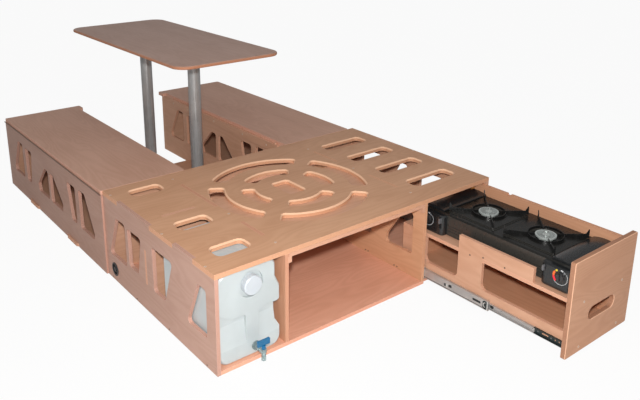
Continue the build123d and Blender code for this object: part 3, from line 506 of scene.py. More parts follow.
@dataclass(frozen=True)
class Enamel:
    """Glossy enamel or lacquer over steel, with fine orange peel and dust.

    Attributes:
        colour: The base colour.
        roughness: The least roughness, where there is no dust.
        upright: A factor on the colour of upright faces, a painted reflection that makes them lighter.
    """

    colour: Colour
    roughness: float = 0.22
    upright: float = 1.0

    def build(self, name: str) -> bpy.types.Material:
        """Builds the material.

        Args:
            name: The material's name.

        Returns:
            The material.
        """
        graph = Surface(name)
        place = graph.place()
        peel = graph.noise(place, scale=260.0, detail=2.0)
        dust = graph.noise(place, scale=30.0, detail=5.0, roughness=0.7)
        dusty = tuple(min(1.0, channel * 1.7 + 0.008) for channel in self.colour)
        shade = graph.blend(dust.ramp(0.55, 0.8), self.colour, dusty)
        # Painted reflection: upright faces get a lighter copy of the colour.
        if self.upright != 1.0:
            side = abs(graph.split("Normal")[2]).ramp(0.75, 0.35)
            shade = graph.blend(side, shade, toned(self.colour, self.upright))
        graph.set(Base_Color=shade)
        graph.set(Roughness=dust.ramp(0.3, 0.8, self.roughness, self.roughness + 0.18))
        graph.set(Coat_Weight=0.2, Coat_Roughness=0.15, Specular_IOR_Level=0.4)
        graph.bump(peel, strength=0.12, distance=0.0002)
        return graph.material


@dataclass(frozen=True)
class Clear:
    """Clear tinted plastic.

    Attributes:
        colour: The tint.
        roughness: The mean roughness.
        transmission: The share of light that passes.
    """

    colour: Colour
    roughness: float = 0.12
    transmission: float = 0.7

    def build(self, name: str) -> bpy.types.Material:
        """Builds the material.

        Args:
            name: The material's name.

        Returns:
            The material.
        """
        graph = Surface(name)
        flow = graph.noise(graph.place(), scale=60.0, detail=2.0)
        graph.set(Base_Color=graph.blend(flow.ramp(0.3, 0.7), toned(self.colour, 0.8), self.colour))
        graph.set(Roughness=flow.ramp(0.2, 0.8, self.roughness * 0.6, self.roughness * 1.6))
        graph.set(Transmission_Weight=self.transmission, IOR=1.46)
        graph.bump(flow, strength=0.1, distance=0.0003)
        return graph.material


Finish = Plywood | Moulded | Metal | Enamel | Clear

# Steel, brass and tube.
SCREW = Metal((0.86, 0.66, 0.53), 0.34, Axis.Z, metallic=0.25)
DARK_SCREW = Metal((0.10, 0.085, 0.075), 0.45, Axis.Z, metallic=0.5)
# Painted shade: the dark grey of screw recesses and flame ports, laid on as flat marks.
RECESS_SHADE = Metal((0.22, 0.20, 0.18), 0.5, Axis.Z, metallic=0.4)
RIVET = Metal((0.42, 0.41, 0.40), 0.35, Axis.Z)
ZINC = Metal((0.60, 0.58, 0.57), 0.38, Axis.Y, metallic=0.6)
INNER_SLIDE = replace(ZINC, dark_below=-0.465)
STEEL_EDGE = Metal((0.78, 0.80, 0.79), 0.28, Axis.Y, metallic=0.5)
TUBE = Metal((0.55, 0.57, 0.58), 0.30, Axis.Z, metallic=0.5, marks=0.3)
BURNER = Metal((0.70, 0.76, 0.74), 0.30, Axis.Z, metallic=0.35, marks=0.8)
BRASS = Metal((0.72, 0.50, 0.20), 0.30, Axis.X)
HINGE = Metal((0.30, 0.185, 0.145), 0.45, Axis.Y, metallic=0.3)

# The stove's enamel, and the plastics.
# Painted reflection: the stove's upright faces are 4.4 times lighter than its tops.
STOVE = Enamel((0.010, 0.0095, 0.0085), 0.22, upright=4.4)
GRATE = Enamel((0.008, 0.008, 0.008), 0.20)
POD = Moulded((0.013, 0.0145, 0.016), 0.27, coat=0.4)
KNOB = Moulded((0.018, 0.018, 0.020), 0.28, coat=0.5)
# Painted shade: the dark of the burners' slits.
SLIT_SHADE = Moulded((0.03, 0.034, 0.036), 0.4)
BLACK_PLASTIC = Moulded((0.022, 0.022, 0.024), 0.42)
# Black nylon for the catch, the rear stop and the ball cage, and painted shade for the slide's slots and
# the shadow under its lip.
NYLON_AND_SHADE = Moulded((0.012, 0.016, 0.017), 0.35)
GREY = Moulded((0.13, 0.13, 0.14), 0.36)
DIAL_RED = Moulded((0.86, 0.022, 0.045), 0.35)
DIAL_ORANGE = Moulded((0.92, 0.17, 0.03), 0.35)
DIAL_YELLOW = Moulded((0.80, 0.62, 0.04), 0.35)
# White print for the ring's line, and a painted highlight on the ring; the grey is a painted highlight too.
DIAL_WHITE_AND_HIGHLIGHT = Moulded((0.56, 0.58, 0.60), 0.4)
DIAL_GREY_HIGHLIGHT = Moulded((0.26, 0.27, 0.29), 0.4)
CANISTER = Moulded((0.54, 0.59, 0.605), 0.36, grain=260.0, relief=0.0003, subsurface=0.35, uneven=0.08)
CAP = Moulded((0.56, 0.60, 0.645), 0.32, subsurface=0.2, uneven=0.04)
TAP = Clear((0.62, 0.78, 0.80))
BLUE = Moulded((0.001, 0.135, 0.31), 0.28, coat=0.2)

# Factors on the wood's colours, board by board; some are painted light, shade or sheen.
TOP_TINT: Colour = (1.0, 0.97, 0.87)
SIDE_TINT: Colour = (0.81, 0.85, 1.00)
# Painted shade: the benches' outer sides are darker and less red, for the light that falls off with
# distance.
BENCH_SHADE_TINT: Colour = (0.74, 0.76, 0.88)
# Painted sheen: the lids are paler and bluer, as seen at a grazing angle.
LID_SHEEN_TINT: Colour = (1.01, 1.04, 1.14)
# Painted light: the bay floor is made paler for the light that reaches deep into the bay.
FLOOR_PAINTED_LIGHT: Colour = (1.20, 1.10, 1.14)
DIVIDER_TINT: Colour = (0.92, 0.84, 0.80)
DRAWER_TINT: Colour = (0.94, 0.86, 0.78)
# Painted sheen: the table top is less red and bluer, as seen at a grazing angle.
TABLE_SHEEN_TINT: Colour = (0.84, 0.95, 1.15)
TABLE_EDGE_TINT: Colour = (0.98, 0.78, 0.66)


# --------------------------------------------------------------------------------------
# Repeated fine pieces


@dataclass(frozen=True)
class Studs:
    """Flat heads or recesses of one shape, put on points by a Geometry Nodes tree.

    Attributes:
        lobes: The number of lobes of a head's outline.
        outer: Its radius at a lobe's tip, in metres.
        inner: Its radius between two lobes, in metres.
        depth: How far it stands out, in metres.
    """

    lobes: int
    outer: float
    inner: float
    depth: float

    def tree(self, material: bpy.types.Material) -> tuple[bpy.types.NodeTree, dict[str, str]]:
        """Builds the tree.

        Args:
            material: What the heads are made of.

        Returns:
            The tree, and the identifier of each named input.
        """
        tree = bpy.data.node_groups.new("studs", "GeometryNodeTree")
        kinds = {
            "Points": "NodeSocketGeometry",
            "Lobes": "NodeSocketInt",
            "Outer": "NodeSocketFloat",
            "Inner": "NodeSocketFloat",
            "Depth": "NodeSocketFloat",
        }
        named = {
            name: tree.interface.new_socket(name=name, in_out="INPUT", socket_type=kind).identifier
            for name, kind in kinds.items()
        }
        tree.interface.new_socket(name="Heads", in_out="OUTPUT", socket_type="NodeSocketGeometry")
        graph = Graph(tree)
        inputs = graph.node("NodeGroupInput").outputs
        points, lobes, outer, inner, depth = (Value(graph, inputs[name]) for name in kinds)
        sockets = {"Points": lobes, "Outer Radius": outer, "Inner Radius": inner}
        star = graph.value("GeometryNodeCurveStar", sockets, "Curve")
        flat = graph.value("GeometryNodeFillCurve", {"Curve": star}, "Mesh")
        sockets = {"Mesh": flat, "Offset Scale": depth}
        head = graph.value("GeometryNodeExtrudeMesh", sockets, "Mesh")
        axis = graph.value(
            "GeometryNodeInputNamedAttribute", {"Name": "axis"}, "Attribute", data_type="FLOAT_VECTOR"
        )
        facing = graph.value("FunctionNodeAlignRotationToVector", {"Vector": axis}, "Rotation", axis="Z")
        sockets = {"Points": points, "Instance": head, "Rotation": facing}
        spread = graph.value("GeometryNodeInstanceOnPoints", sockets, "Instances")
        real = graph.value("GeometryNodeRealizeInstances", {"Geometry": spread}, "Geometry")
        sockets = {"Geometry": real, "Material": material}
        graph.node("NodeGroupOutput", {"Heads": graph.value("GeometryNodeSetMaterial", sockets)})
        return tree, named

    def build(self, name: str, places: Sequence[Point], axis: Point, finish: Finish) -> bpy.types.Mesh:
        """Puts the heads on their places.

        Args:
            name: The mesh's name.
            places: Where the heads stand, in metres.
            axis: The way that they face.
            finish: What they are made of.

        Returns:
            A plain mesh of all the heads.
        """
        points = bpy.data.meshes.new(f"{name}_points")
        points.from_pydata(list(places), [], [])
        facing = points.attributes.new("axis", "FLOAT_VECTOR", "POINT")
        for item in facing.data:
            item.vector = axis
        carrier = bpy.data.objects.new(f"{name}_carrier", points)
        bpy.context.scene.collection.objects.link(carrier)
        tree, named = self.tree(finish.build(f"{name}_finish"))
        modifier = carrier.modifiers.new("studs", "NODES")
        modifier.node_group = tree
        sizes = {"Lobes": self.lobes, "Outer": self.outer, "Inner": self.inner, "Depth": self.depth}
        for label, size in sizes.items():
            modifier[named[label]] = size
        shown = carrier.evaluated_get(bpy.context.evaluated_depsgraph_get())
        mesh = bpy.data.meshes.new_from_object(shown)
        mesh.name = name
        carrier.modifiers.remove(modifier)
        bpy.data.objects.remove(carrier)
        return mesh


SCREW_STAR = Studs(lobes=6, outer=0.0014, inner=0.0009, depth=0.00015)
WOOD_SCREW = Studs(lobes=10, outer=0.0030, inner=0.0028, depth=0.0003)
HEAD_RIVET = Studs(lobes=12, outer=0.0022, inner=0.00215, depth=0.0004)
KNUCKLE_GAP = Studs(lobes=12, outer=0.00275, inner=0.00265, depth=0.0004)
FLAME_PORT = Studs(lobes=8, outer=0.0011, inner=0.0010, depth=0.0001)


def bridge(form: bmesh.types.BMesh, rows: Sequence[Row], closed: bool = True) -> None:
    """Joins rows of vertices by bands of faces.

    Args:
        form: The form that holds the rows.
        rows: The rows, all of one length.
        closed: Whether each row runs on round to its start.
    """
    for first, second in zip(rows, rows[1:]):
        bands = len(first) if closed else len(first) - 1
        for index in range(bands):
            after = (index + 1) % len(first)
            form.faces.new((first[index], first[after], second[after], second[index]))


def close_ends(form: bmesh.types.BMesh, first: Row, last: Row) -> None:
    """Closes the first and the last row of a form by a face each."""
    form.faces.new(first)
    form.faces.new(list(reversed(last)))


def finished(form: bmesh.types.BMesh, name: str, turn: bool = True) -> bpy.types.Mesh:
    """Makes a mesh of a form, and frees the form.

    Args:
        form: The form.
        name: The mesh's name.
        turn: Whether its faces are turned outwards first.

    Returns:
        The mesh.
    """
    if turn:
        bmesh.ops.recalc_face_normals(form, faces=form.faces)
    mesh = bpy.data.meshes.new(name)
    form.to_mesh(mesh)
    form.free()
    return mesh


def ring_band(
    middle: Point, inside: float, outside: float, start: float, end: float, thickness: float
) -> bpy.types.Mesh:
    """Makes a flat stretch of a ring that faces -X.

    Args:
        middle: The ring's middle on the surface that carries it.
        inside: The inner radius.
        outside: The outer radius.
        start: The first angle, in degrees from +Y towards +Z.
        end: The last angle.
        thickness: How far it stands out.

    Returns:
        The mesh.
    """
    facet_angle = 6.0
    x, y, z = middle
    form = bmesh.new()
    steps = max(2, round(abs(end - start) / facet_angle))
    section = ((inside, 0.0), (inside, thickness), (outside, thickness), (outside, 0.0))
    rows = []
    for step in range(steps + 1):
        angle = math.radians(start + (end - start) * step / steps)
        cosine, sine = math.cos(angle), math.sin(angle)
        rows.append(
            [
                form.verts.new((x - lift, y + radius * cosine, z + radius * sine))
                for radius, lift in section
            ]
        )
    bridge(form, rows, closed=False)
    close_ends(form, rows[0], rows[-1])
    return finished(form, "ring_band")


def slit_rings(
    middles: Sequence[Point], reach: Span, count: int, width: float, lift: float = 0.0002
) -> bpy.types.Mesh:
    """Makes rings of radial slits that face +Z, as flat plates that paint the slits' shade.

    Args:
        middles: The rings' middles.
        reach: The inner and outer radius of the slits.
        count: How many slits a ring has.
        width: The width of a slit at its outer end.
        lift: How far they lie above the middles.

    Returns:
        The mesh.
    """
    form = bmesh.new()
    inner, outer = reach
    narrow = width * inner / outer
    corners = ((inner, -narrow / 2), (outer, -width / 2), (outer, width / 2), (inner, narrow / 2))
    for x, y, z in middles:
        for index in range(count):
            turn = math.tau * index / count
            cosine, sine = math.cos(turn), math.sin(turn)
            form.faces.new(
                [
                    form.verts.new(
                        (x + radius * cosine - offset * sine, y + radius * sine + offset * cosine, z + lift)
                    )
                    for radius, offset in corners
                ]
            )
    return finished(form, "slit_rings", turn=False)


def rounded_plate(face: float, across: Span, upright: Span, lift: float = 0.0002) -> bpy.types.Mesh:
    """Makes a thin plate with round ends that lies on a face towards -X.

    Args:
        face: Where the face lies along X.
        across: Its first and last place along Y.
        upright: Its first and last place along Z.
        lift: How far it stands out.

    Returns:
        The mesh.
    """
    round_share, corner_steps = 0.42, 4
    radius = min(across[1] - across[0], upright[1] - upright[0]) * round_share
    corners = (
        (across[1] - radius, upright[1] - radius, 0.0),
        (across[0] + radius, upright[1] - radius, math.pi / 2),
        (across[0] + radius, upright[0] + radius, math.pi),
        (across[1] - radius, upright[0] + radius, 3 * math.pi / 2),
    )
    turns = [math.pi / 2 * step / corner_steps for step in range(corner_steps + 1)]
    outline = [
        (y + radius * math.cos(start + turn), z + radius * math.sin(start + turn))
        for y, z, start in corners
        for turn in turns
    ]
    form = bmesh.new()
    foot, top = ([form.verts.new((x, y, z)) for y, z in outline] for x in (face, face - lift))
    bridge(form, (foot, top))
    close_ends(form, top, foot)
    return finished(form, "rounded_plate")


def turned(middle: Point, profile: Sequence[Span], sides: int = 48) -> bmesh.types.BMesh:
    """Makes a turned form around an axis along -X.

    Args:
        middle: The axis's foot.
        profile: Pairs of distance along -X and radius, from the foot outwards.
        sides: The number of sides.

    Returns:
        The form, open at the foot.
    """
    form = bmesh.new()
    turns = [math.tau * side / sides for side in range(sides)]
    x, y, z = middle
    rows = [
        [
            form.verts.new((x - reach, y + radius * math.cos(turn), z + radius * math.sin(turn)))
            for turn in turns
        ]
        for reach, radius in profile
    ]
    bridge(form, rows)
    form.faces.new(rows[-1])
    return form


# --------------------------------------------------------------------------------------
# Helpers on CAD nodes


def node_object(name: str) -> bpy.types.Object:
    """Returns: a CAD node's object."""
    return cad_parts[name]


def centre(low: Point, high: Point) -> Point:
    """Returns: the middle between two corners."""
    return tuple((first + second) / 2 for first, second in zip(low, high))


def loose_parts(name: str) -> list[Point]:
    """Finds the separate solids of a CAD node.

    Args:
        name: The node.

    Returns:
        The middle of each one, or of its top where it is flat.
    """
    flat_height = 0.002
    form = bmesh.new()
    form.from_mesh(node_object(name).data)
    bmesh.ops.remove_doubles(form, verts=form.verts, dist=1e-5)
    form.verts.index_update()
    seen: set[int] = set()
    found: list[Point] = []
    for start in form.verts:
        if start.index in seen:
            continue
        group, waiting = [], [start]
        seen.add(start.index)
        while waiting:
            vert = waiting.pop()
            group.append(vert.co)
            for edge in vert.link_edges:
                other = edge.other_vert(vert)
                if other.index not in seen:
                    seen.add(other.index)
                    waiting.append(other)
        low = [min(place[axis] for place in group) for axis in range(3)]
        high = [max(place[axis] for place in group) for axis in range(3)]
        x, y, z = centre(low, high)
        found.append((x, y, high[2] if high[2] - low[2] < flat_height else z))
    form.free()
    return found


def paint(obj: bpy.types.Object, finish: Finish) -> None:
    """Gives an object one finish.

    Args:
        obj: The object.
        finish: What its surface is.
    """
    material = finish.build(f"{obj.name}_{type(finish).__name__.lower()}")
    obj.data.materials.clear()
    obj.data.materials.append(material)
    LOG.info("%s: %s", obj.name, type(finish).__name__)


def board_finish(
    name: str, thin: Axis, grain: Axis, tint: Colour = WHITE, edge_tone: float = 1.0
) -> Plywood:
    """Makes a plywood finish that takes its place from a node's box.

    Args:
        name: The CAD node.
        thin: The axis across its thickness.
        grain: The axis along its grain.
        tint: Factors on its colour.
        edge_tone: A factor on the lightness of its edges.

    Returns:
        The finish.
    """
    thickest, seed_count, seed_step = 0.016, 97, 0.37
    low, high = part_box(name)
    foot = low[thin.value]
    thickness = min(high[thin.value] - foot, thickest)
    seed = (sum(map(ord, name)) % seed_count) * seed_step
    return Plywood(thin, foot, thickness, grain, tint, seed, edge_tone)


def board_finishes(boards: dict[str, tuple[Any, ...]], prefix: str = "") -> dict[str, Finish]:
    """Makes the plywood finishes of several nodes.

    Args:
        boards: What board_finish takes after the name, for each node.
        prefix: How each node's name starts.

    Returns:
        The finish of each node.
    """
    return {prefix + name: board_finish(prefix + name, *values) for name, values in boards.items()}


# --------------------------------------------------------------------------------------
# The object's assemblies


@dataclass
class Assembly:
    """A group of CAD nodes and pieces that ride on one body.

    Attributes:
        body: The name of the body.
        made: The pieces that it has added.
    """

    body: str = ""
    made: list[bpy.types.Object] = field(default_factory=list)

    def finishes(self) -> dict[str, Finish]:
        """Returns: the finish of each CAD node of the assembly."""
        raise NotImplementedError

    def dress(self) -> None:
        """Gives each CAD node of the assembly its finish."""
        for name, finish in self.finishes().items():
            paint(node_object(name), finish)

    def build(self) -> None:
        """Adds the pieces that the CAD leaves to the scene."""

    def piece(
        self, name: str, mesh: bpy.types.Mesh, finish: Finish, *replaced: str, body: str = ""
    ) -> bpy.types.Object:
        """Adds a mesh as a piece of this assembly.

        Args:
            name: The piece's name.
            mesh: Its mesh, in the shared frame.
            finish: What its surface is.
            replaced: The CAD nodes that it stands for.
            body: The body that it rides on, where that isn't the assembly's own.

        Returns:
            The new object.
        """
        obj = bpy.data.objects.new(name, mesh)
        mesh.name = name
        bpy.context.scene.collection.objects.link(obj)
        if mesh.materials:
            LOG.info("%s: %s", name, type(finish).__name__)
        else:
            paint(obj, finish)
        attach(obj, body or self.body)
        if replaced:
            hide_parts(*replaced)
        self.made.append(obj)
        return obj

    def studs(
        self, name: str, kind: Studs, places: Sequence[Point], axis: Point, finish: Finish
    ) -> bpy.types.Object:
        """Adds heads on points as one piece of this assembly.

        Args:
            name: The piece's name.
            kind: The shape of a head.
            places: Where the heads stand, in metres.
            axis: The way that they face.
            finish: What they are made of.

        Returns:
            The new object.
        """
        return self.piece(name, kind.build(name, places, axis, finish), finish)


@dataclass
class Box(Assembly):
    """The main box with its panels, board and fittings.

    Attributes:
        divider_screw_ys: Where the screws stand along the right divider, in metres.
        divider_screw_rise: How far they stand above the floor panel, in metres.
        side_screw_ys: Where the screws stand along the left side panel, in metres.
        side_screw_z: How high they stand, in metres.
    """

    body: str = "box_and_benches"
    divider_screw_ys: tuple[float, ...] = (0.125, 0.140, 0.285, 0.300, 0.520, 0.535)
    divider_screw_rise: float = 0.008
    side_screw_ys: tuple[float, ...] = (0.060, 0.300, 0.540, 0.740)
    side_screw_z: float = 0.007

    def finishes(self) -> dict[str, Finish]:
        """Returns: the finish of each CAD node of the box."""
        boards = {
            "top_panel": (Axis.Z, Axis.X, TOP_TINT),
            "left_side_panel": (Axis.X, Axis.Y, SIDE_TINT),
            "right_side_panel": (Axis.X, Axis.Y),
            "left_divider": (Axis.X, Axis.Z, DIVIDER_TINT),
            "right_divider": (Axis.X, Axis.Y, TOP_TINT),
            "back_panel": (Axis.Y, Axis.X),
            "bottom_panel": (Axis.Z, Axis.X, FLOOR_PAINTED_LIGHT),
            "bay_cross_panel": (Axis.Y, Axis.X),
            "board_cleats": (Axis.X, Axis.Y),
            "stop_batten": (Axis.Z, Axis.X),
            "pull_out_board": (Axis.Z, Axis.X),
        }
        return {
            **board_finishes(boards),
            "top_screws": SCREW,
            "side_fitting": BLACK_PLASTIC,
            "slide_outer_members": ZINC,
            "slide_middle_members": ZINC,
            "drawer_catch": BRASS,
        }

    def build(self) -> None:
        """Adds the recesses of the top screws as flat stars of painted shade, and the screws in the divider
        and the side.
        """
        self.studs("top_screw_recesses", SCREW_STAR, loose_parts("top_screws"), (0, 0, 1), RECESS_SHADE)
        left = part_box("right_divider")[0][0]
        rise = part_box("bottom_panel")[1][2] + self.divider_screw_rise
        places = [(left, y, rise) for y in self.divider_screw_ys]
        self.studs("divider_screws", WOOD_SCREW, places, (-1, 0, 0), DARK_SCREW)
        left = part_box("left_side_panel")[0][0]
        places = [(left, y, self.side_screw_z) for y in self.side_screw_ys]
        self.studs("side_screws", WOOD_SCREW, places, (-1, 0, 0), DARK_SCREW)


@dataclass
class Benches(Assembly):
    """The two benches with their lids, ledges and cross planks.

    Attributes:
        knuckle_pitch: The length of a hinge knuckle with its gap, in metres.
        ledge_head: How far the heads of the ledge screws stand out, in metres.
        socket_ring: The radius of the ring of screws in a leg socket, in metres.
        socket_screws: How many screws that ring has.
        flange: The thickness of a leg socket's flange, in metres.
    """

    body: str = "box_and_benches"
    knuckle_pitch: float = 0.0384
    ledge_head: float = 0.0008
    socket_ring: float = 0.047
    socket_screws: int = 4
    flange: float = 0.005

    def finishes(self) -> dict[str, Finish]:
        """Returns: the finish of each CAD node of the benches."""
        boards = {
            "bench_outer_side": (Axis.X, Axis.Y, BENCH_SHADE_TINT),
            "bench_inner_side": (Axis.X, Axis.Y),
            "bench_ends": (Axis.Y, Axis.X),
            "bench_floor": (Axis.Z, Axis.Y),
            "bench_lid": (Axis.Z, Axis.Y, LID_SHEEN_TINT),
            "ledge": (Axis.X, Axis.Y),
        }
        return {
            **board_finishes(boards, "left_"),
            **board_finishes(boards, "right_"),
            **board_finishes({"cross_planks": (Axis.Z, Axis.X)}),
            "lid_hinges": HINGE,
            "ledge_screws": SCREW,
            "leg_sockets": BLACK_PLASTIC,
        }

    def build(self) -> None:
        """Adds the hinge knuckles, the ledge screws' recesses in painted shade and the socket screws."""
        low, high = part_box("lid_hinges")
        count = int((high[1] - low[1]) / self.knuckle_pitch)
        radius = (high[2] - low[2]) / 2
        ys = [low[1] + self.knuckle_pitch * (index + 0.5) for index in range(count)]
        places = [(x, y, low[2] + radius) for x in (low[0] + radius, high[0] - radius) for y in ys]
        self.studs("hinge_knuckles", KNUCKLE_GAP, places, (0, 1, 0), HINGE)
        self.ledge_recesses("left", 1.0)
        self.ledge_recesses("right", -1.0)
        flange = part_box("leg_sockets")[0][2] + self.flange
        turns = [math.pi / 4 + math.tau * index / self.socket_screws for index in range(self.socket_screws)]
        places = [
            (x + self.socket_ring * math.cos(turn), y + self.socket_ring * math.sin(turn), flange)
            for x, y, _ in loose_parts("leg_sockets")
            for turn in turns
        ]
        self.studs("socket_screws", WOOD_SCREW, places, (0, 0, 1), ZINC)

    def ledge_recesses(self, side: str, facing: float) -> None:
        """Adds the recesses in the heads of one ledge's screws, as flat stars of painted shade.

        Args:
            side: Which ledge, "left" or "right".
            facing: 1 where its screws face +X, and -1 where they face -X.
        """
        low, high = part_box(f"{side}_ledge")
        face = (high[0] if facing > 0 else low[0]) + facing * self.ledge_head
        middle = centre(*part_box("ledge_screws"))[0]
        heads = loose_parts("ledge_screws")
        places = [(face, y, z) for x, y, z in heads if (x - middle) * facing < 0]
        self.studs(f"{side}_ledge_recesses", SCREW_STAR, places, (facing, 0, 0), RECESS_SHADE)


@dataclass
class Table(Assembly):
    """The table with its tube legs."""

    body: str = "table"

    def finishes(self) -> dict[str, Finish]:
        """Returns: the finish of each CAD node of the table."""
        board = board_finish("table_top", Axis.Z, Axis.Y, TABLE_SHEEN_TINT, 0.72)
        return {
            "table_top": replace(board, edge_tint=TABLE_EDGE_TINT, arris_highlight=0.0),
            "table_legs": TUBE,
            "table_collars": BLACK_PLASTIC,
        }


@dataclass(frozen=True)
class SlideMark:
    """A slot or a stop on the outer face of a slide's middle member; a slot is a black plate that paints
    the shade in its hole.

    Attributes:
        name: What the piece's name ends with.
        across: Its first and last place behind the member's front end, in metres.
        rise: How far its middle stands above the member's middle, in metres.
        height: Its height in metres.
        finish: What it is made of.
    """

    name: str
    across: Span
    rise: float
    height: float
    finish: Finish


@dataclass(frozen=True)
class SlideCatch:
    """The catch at the front of a slide's middle member, the painted shadow under its lip and its ball
    cage.

    Places are in metres behind the member's front end.

    Attributes:
        plate: The first and last place of the nylon plate.
        plate_margin: How far the plate ends short of the member's lower and upper edge.
        edge: The first and last place of the steel edge in front of it.
        edge_margin: How far that ends short of the member's edges.
        hook: The place of the steel hook's middle.
        hook_radii: The hook's inner and outer radius.
        hook_turn: How far it runs from +Y to either side, in degrees.
        hook_depth: How far it stands out.
        lip_shadow_ends: How far the painted shadow under the lip ends short of the member's front and rear
            end.
        lip_shadow_rise: The painted shadow's lower and upper edge, above the member's lower edge.
        cage: The first and last place of the ball cage, which lies in front of the member.
        cage_margin: How far the cage ends short of the inner member's edges.
    """

    plate: Span = (0.002, 0.022)
    plate_margin: float = 0.005
    edge: Span = (0.001, 0.0045)
    edge_margin: float = 0.004
    hook: float = 0.010
    hook_radii: Span = (0.0072, 0.0102)
    hook_turn: float = 85.0
    hook_depth: float = 0.0001
    lip_shadow_ends: Span = (0.006, 0.004)
    lip_shadow_rise: Span = (0.0065, 0.0088)
    cage: Span = (-0.017, -0.003)
    cage_margin: float = 0.004


# The two slots are black plates that paint the shade in the holes; the rear stop is black nylon.
SLIDE_MARKS = (
    SlideMark("slot", (0.030, 0.064), 0.001, 0.0085, NYLON_AND_SHADE),
    SlideMark("rear_slot", (0.158, 0.172), 0.002, 0.0105, NYLON_AND_SHADE),
    SlideMark("rear_tongue", (0.174, 0.184), 0.0, 0.0100, STEEL_EDGE),
    SlideMark("rear_stop", (0.185, 0.192), -0.002, 0.0110, NYLON_AND_SHADE),
)


@dataclass
class Drawer(Assembly):
    """The drawer with its sides, shelf and slides.

    Attributes:
        side_screws: Where the screws in the left side stand, as Y and Z in metres.
        rivet_places: Where the rivets stand behind the front end of a slide, in metres.
        web: How far the web of a slide's inner member stands off the side, in metres.
        middles: The body of the slides' middle members.
        nylon_and_shade_lift: How far the black marks, nylon and painted shade, stand out from a member, in
            metres.
        steel_lift: The same for the steel ones.
        catch: The sizes of the slide's catch.
    """

    body: str = "drawer"
    side_screws: tuple[Span, ...] = ((-0.190, 0.193), (-0.245, 0.205), (-0.333, 0.205))
    rivet_places: tuple[float, ...] = (0.050, 0.098, 0.118, 0.240)
    web: float = 0.0014
    middles: str = "slide_middles"
    nylon_and_shade_lift: float = 0.0002
    steel_lift: float = 0.0003
    catch: SlideCatch = SlideCatch()

    def finishes(self) -> dict[str, Finish]:
        """Returns: the finish of each CAD node of the drawer."""
        boards = {
            "drawer_front": (Axis.Y, Axis.X, DRAWER_TINT, 0.62),
            "drawer_left_side": (Axis.X, Axis.Y),
            "drawer_right_side": (Axis.X, Axis.Y, DRAWER_TINT),
            "drawer_back": (Axis.Y, Axis.X, DRAWER_TINT),
            "drawer_floor": (Axis.Z, Axis.Y, DRAWER_TINT),
            "drawer_shelf": (Axis.Z, Axis.Y),
        }
        return {
            **board_finishes(boards),
            "drawer_front_screws": SCREW,
            "slide_inner_members": INNER_SLIDE,
        }

    def build(self) -> None:
        """Adds the screws in the drawer's side, the front screws' recesses in painted shade, and the rivets
        of its slides.
        """
        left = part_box("drawer_left_side")[0][0]
        places = [(left, y, z) for y, z in self.side_screws]
        self.studs("drawer_side_screws", WOOD_SCREW, places, (-1, 0, 0), DARK_SCREW)
        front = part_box("drawer_front_screws")[0][1]
        places = [(x, front, z) for x, _, z in loose_parts("drawer_front_screws")]
        self.studs("drawer_front_recesses", SCREW_STAR, places, (0, -1, 0), RECESS_SHADE)
        low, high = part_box("slide_inner_members")
        middle = centre(low, high)[2]
        places = [(left - self.web, low[1] + place, middle) for place in self.rivet_places]
        self.studs("slide_rivets", HEAD_RIVET, places, (-1, 0, 0), RIVET)
        self.slide_marks()

    def slide_marks(self) -> None:
        """Adds the slots and the shadow under the lip, both painted shade, and the catch of the left
        slide's middle member.
        """
        low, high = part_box("slide_middle_members")
        face, front, foot = low
        middle = centre(low, high)[2]

        def plate(name: str, across: Span, upright: Span, finish: Finish) -> None:
            """Lays a plate on the member's outer face.

            Args:
                name: What the piece's name ends with.
                across: Its first and last place behind the member's front end, in metres.
                upright: Its first and last height in metres.
                finish: What it is made of.
            """
            lift = self.nylon_and_shade_lift if finish is NYLON_AND_SHADE else self.steel_lift
            mesh = rounded_plate(face, (front + across[0], front + across[1]), upright, lift)
            self.piece(f"slide_{name}", mesh, finish, body=self.middles)

        for mark in SLIDE_MARKS:
            level = middle + mark.rise
            upright = (level - mark.height / 2, level + mark.height / 2)
            plate(mark.name, mark.across, upright, mark.finish)
        catch, length, head = self.catch, high[1] - front, high[2]
        upright = (foot + catch.plate_margin, head - catch.plate_margin)
        plate("catch", catch.plate, upright, NYLON_AND_SHADE)
        # Painted shadow: a dark line under the member's lower lip.
        across = (catch.lip_shadow_ends[0], length - catch.lip_shadow_ends[1])
        plate("lip_shadow", across, (foot + catch.lip_shadow_rise[0], foot + catch.lip_shadow_rise[1]), NYLON_AND_SHADE)
        hook = (face - self.nylon_and_shade_lift, front + catch.hook, middle)
        mesh = ring_band(hook, *catch.hook_radii, -catch.hook_turn, catch.hook_turn, catch.hook_depth)
        self.piece("slide_catch_hook", mesh, STEEL_EDGE, body=self.middles)
        upright = (foot + catch.edge_margin, head - catch.edge_margin)
        plate("catch_edge", catch.edge, upright, STEEL_EDGE)
        low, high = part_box("slide_inner_members")
        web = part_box("drawer_left_side")[0][0] - self.web
        across = (front + catch.cage[0], front + catch.cage[1])
        upright = (low[2] + catch.cage_margin, high[2] - catch.cage_margin)
        mesh = rounded_plate(web, across, upright, self.nylon_and_shade_lift)
        self.piece("slide_ball_cage", mesh, NYLON_AND_SHADE)


@dataclass(frozen=True)
class DialMark:
    """A coloured stretch of the ring around a knob; most are print, two are painted highlights.

    Attributes:
        name: What the piece's name ends with.
        inside: Its inner radius in metres.
        outside: Its outer radius in metres.
        start: Its first angle, in degrees from +Y towards +Z.
        end: Its last angle.
        finish: What it is made of.
    """

    name: str
    inside: float
    outside: float
    start: float
    end: float
    finish: Finish


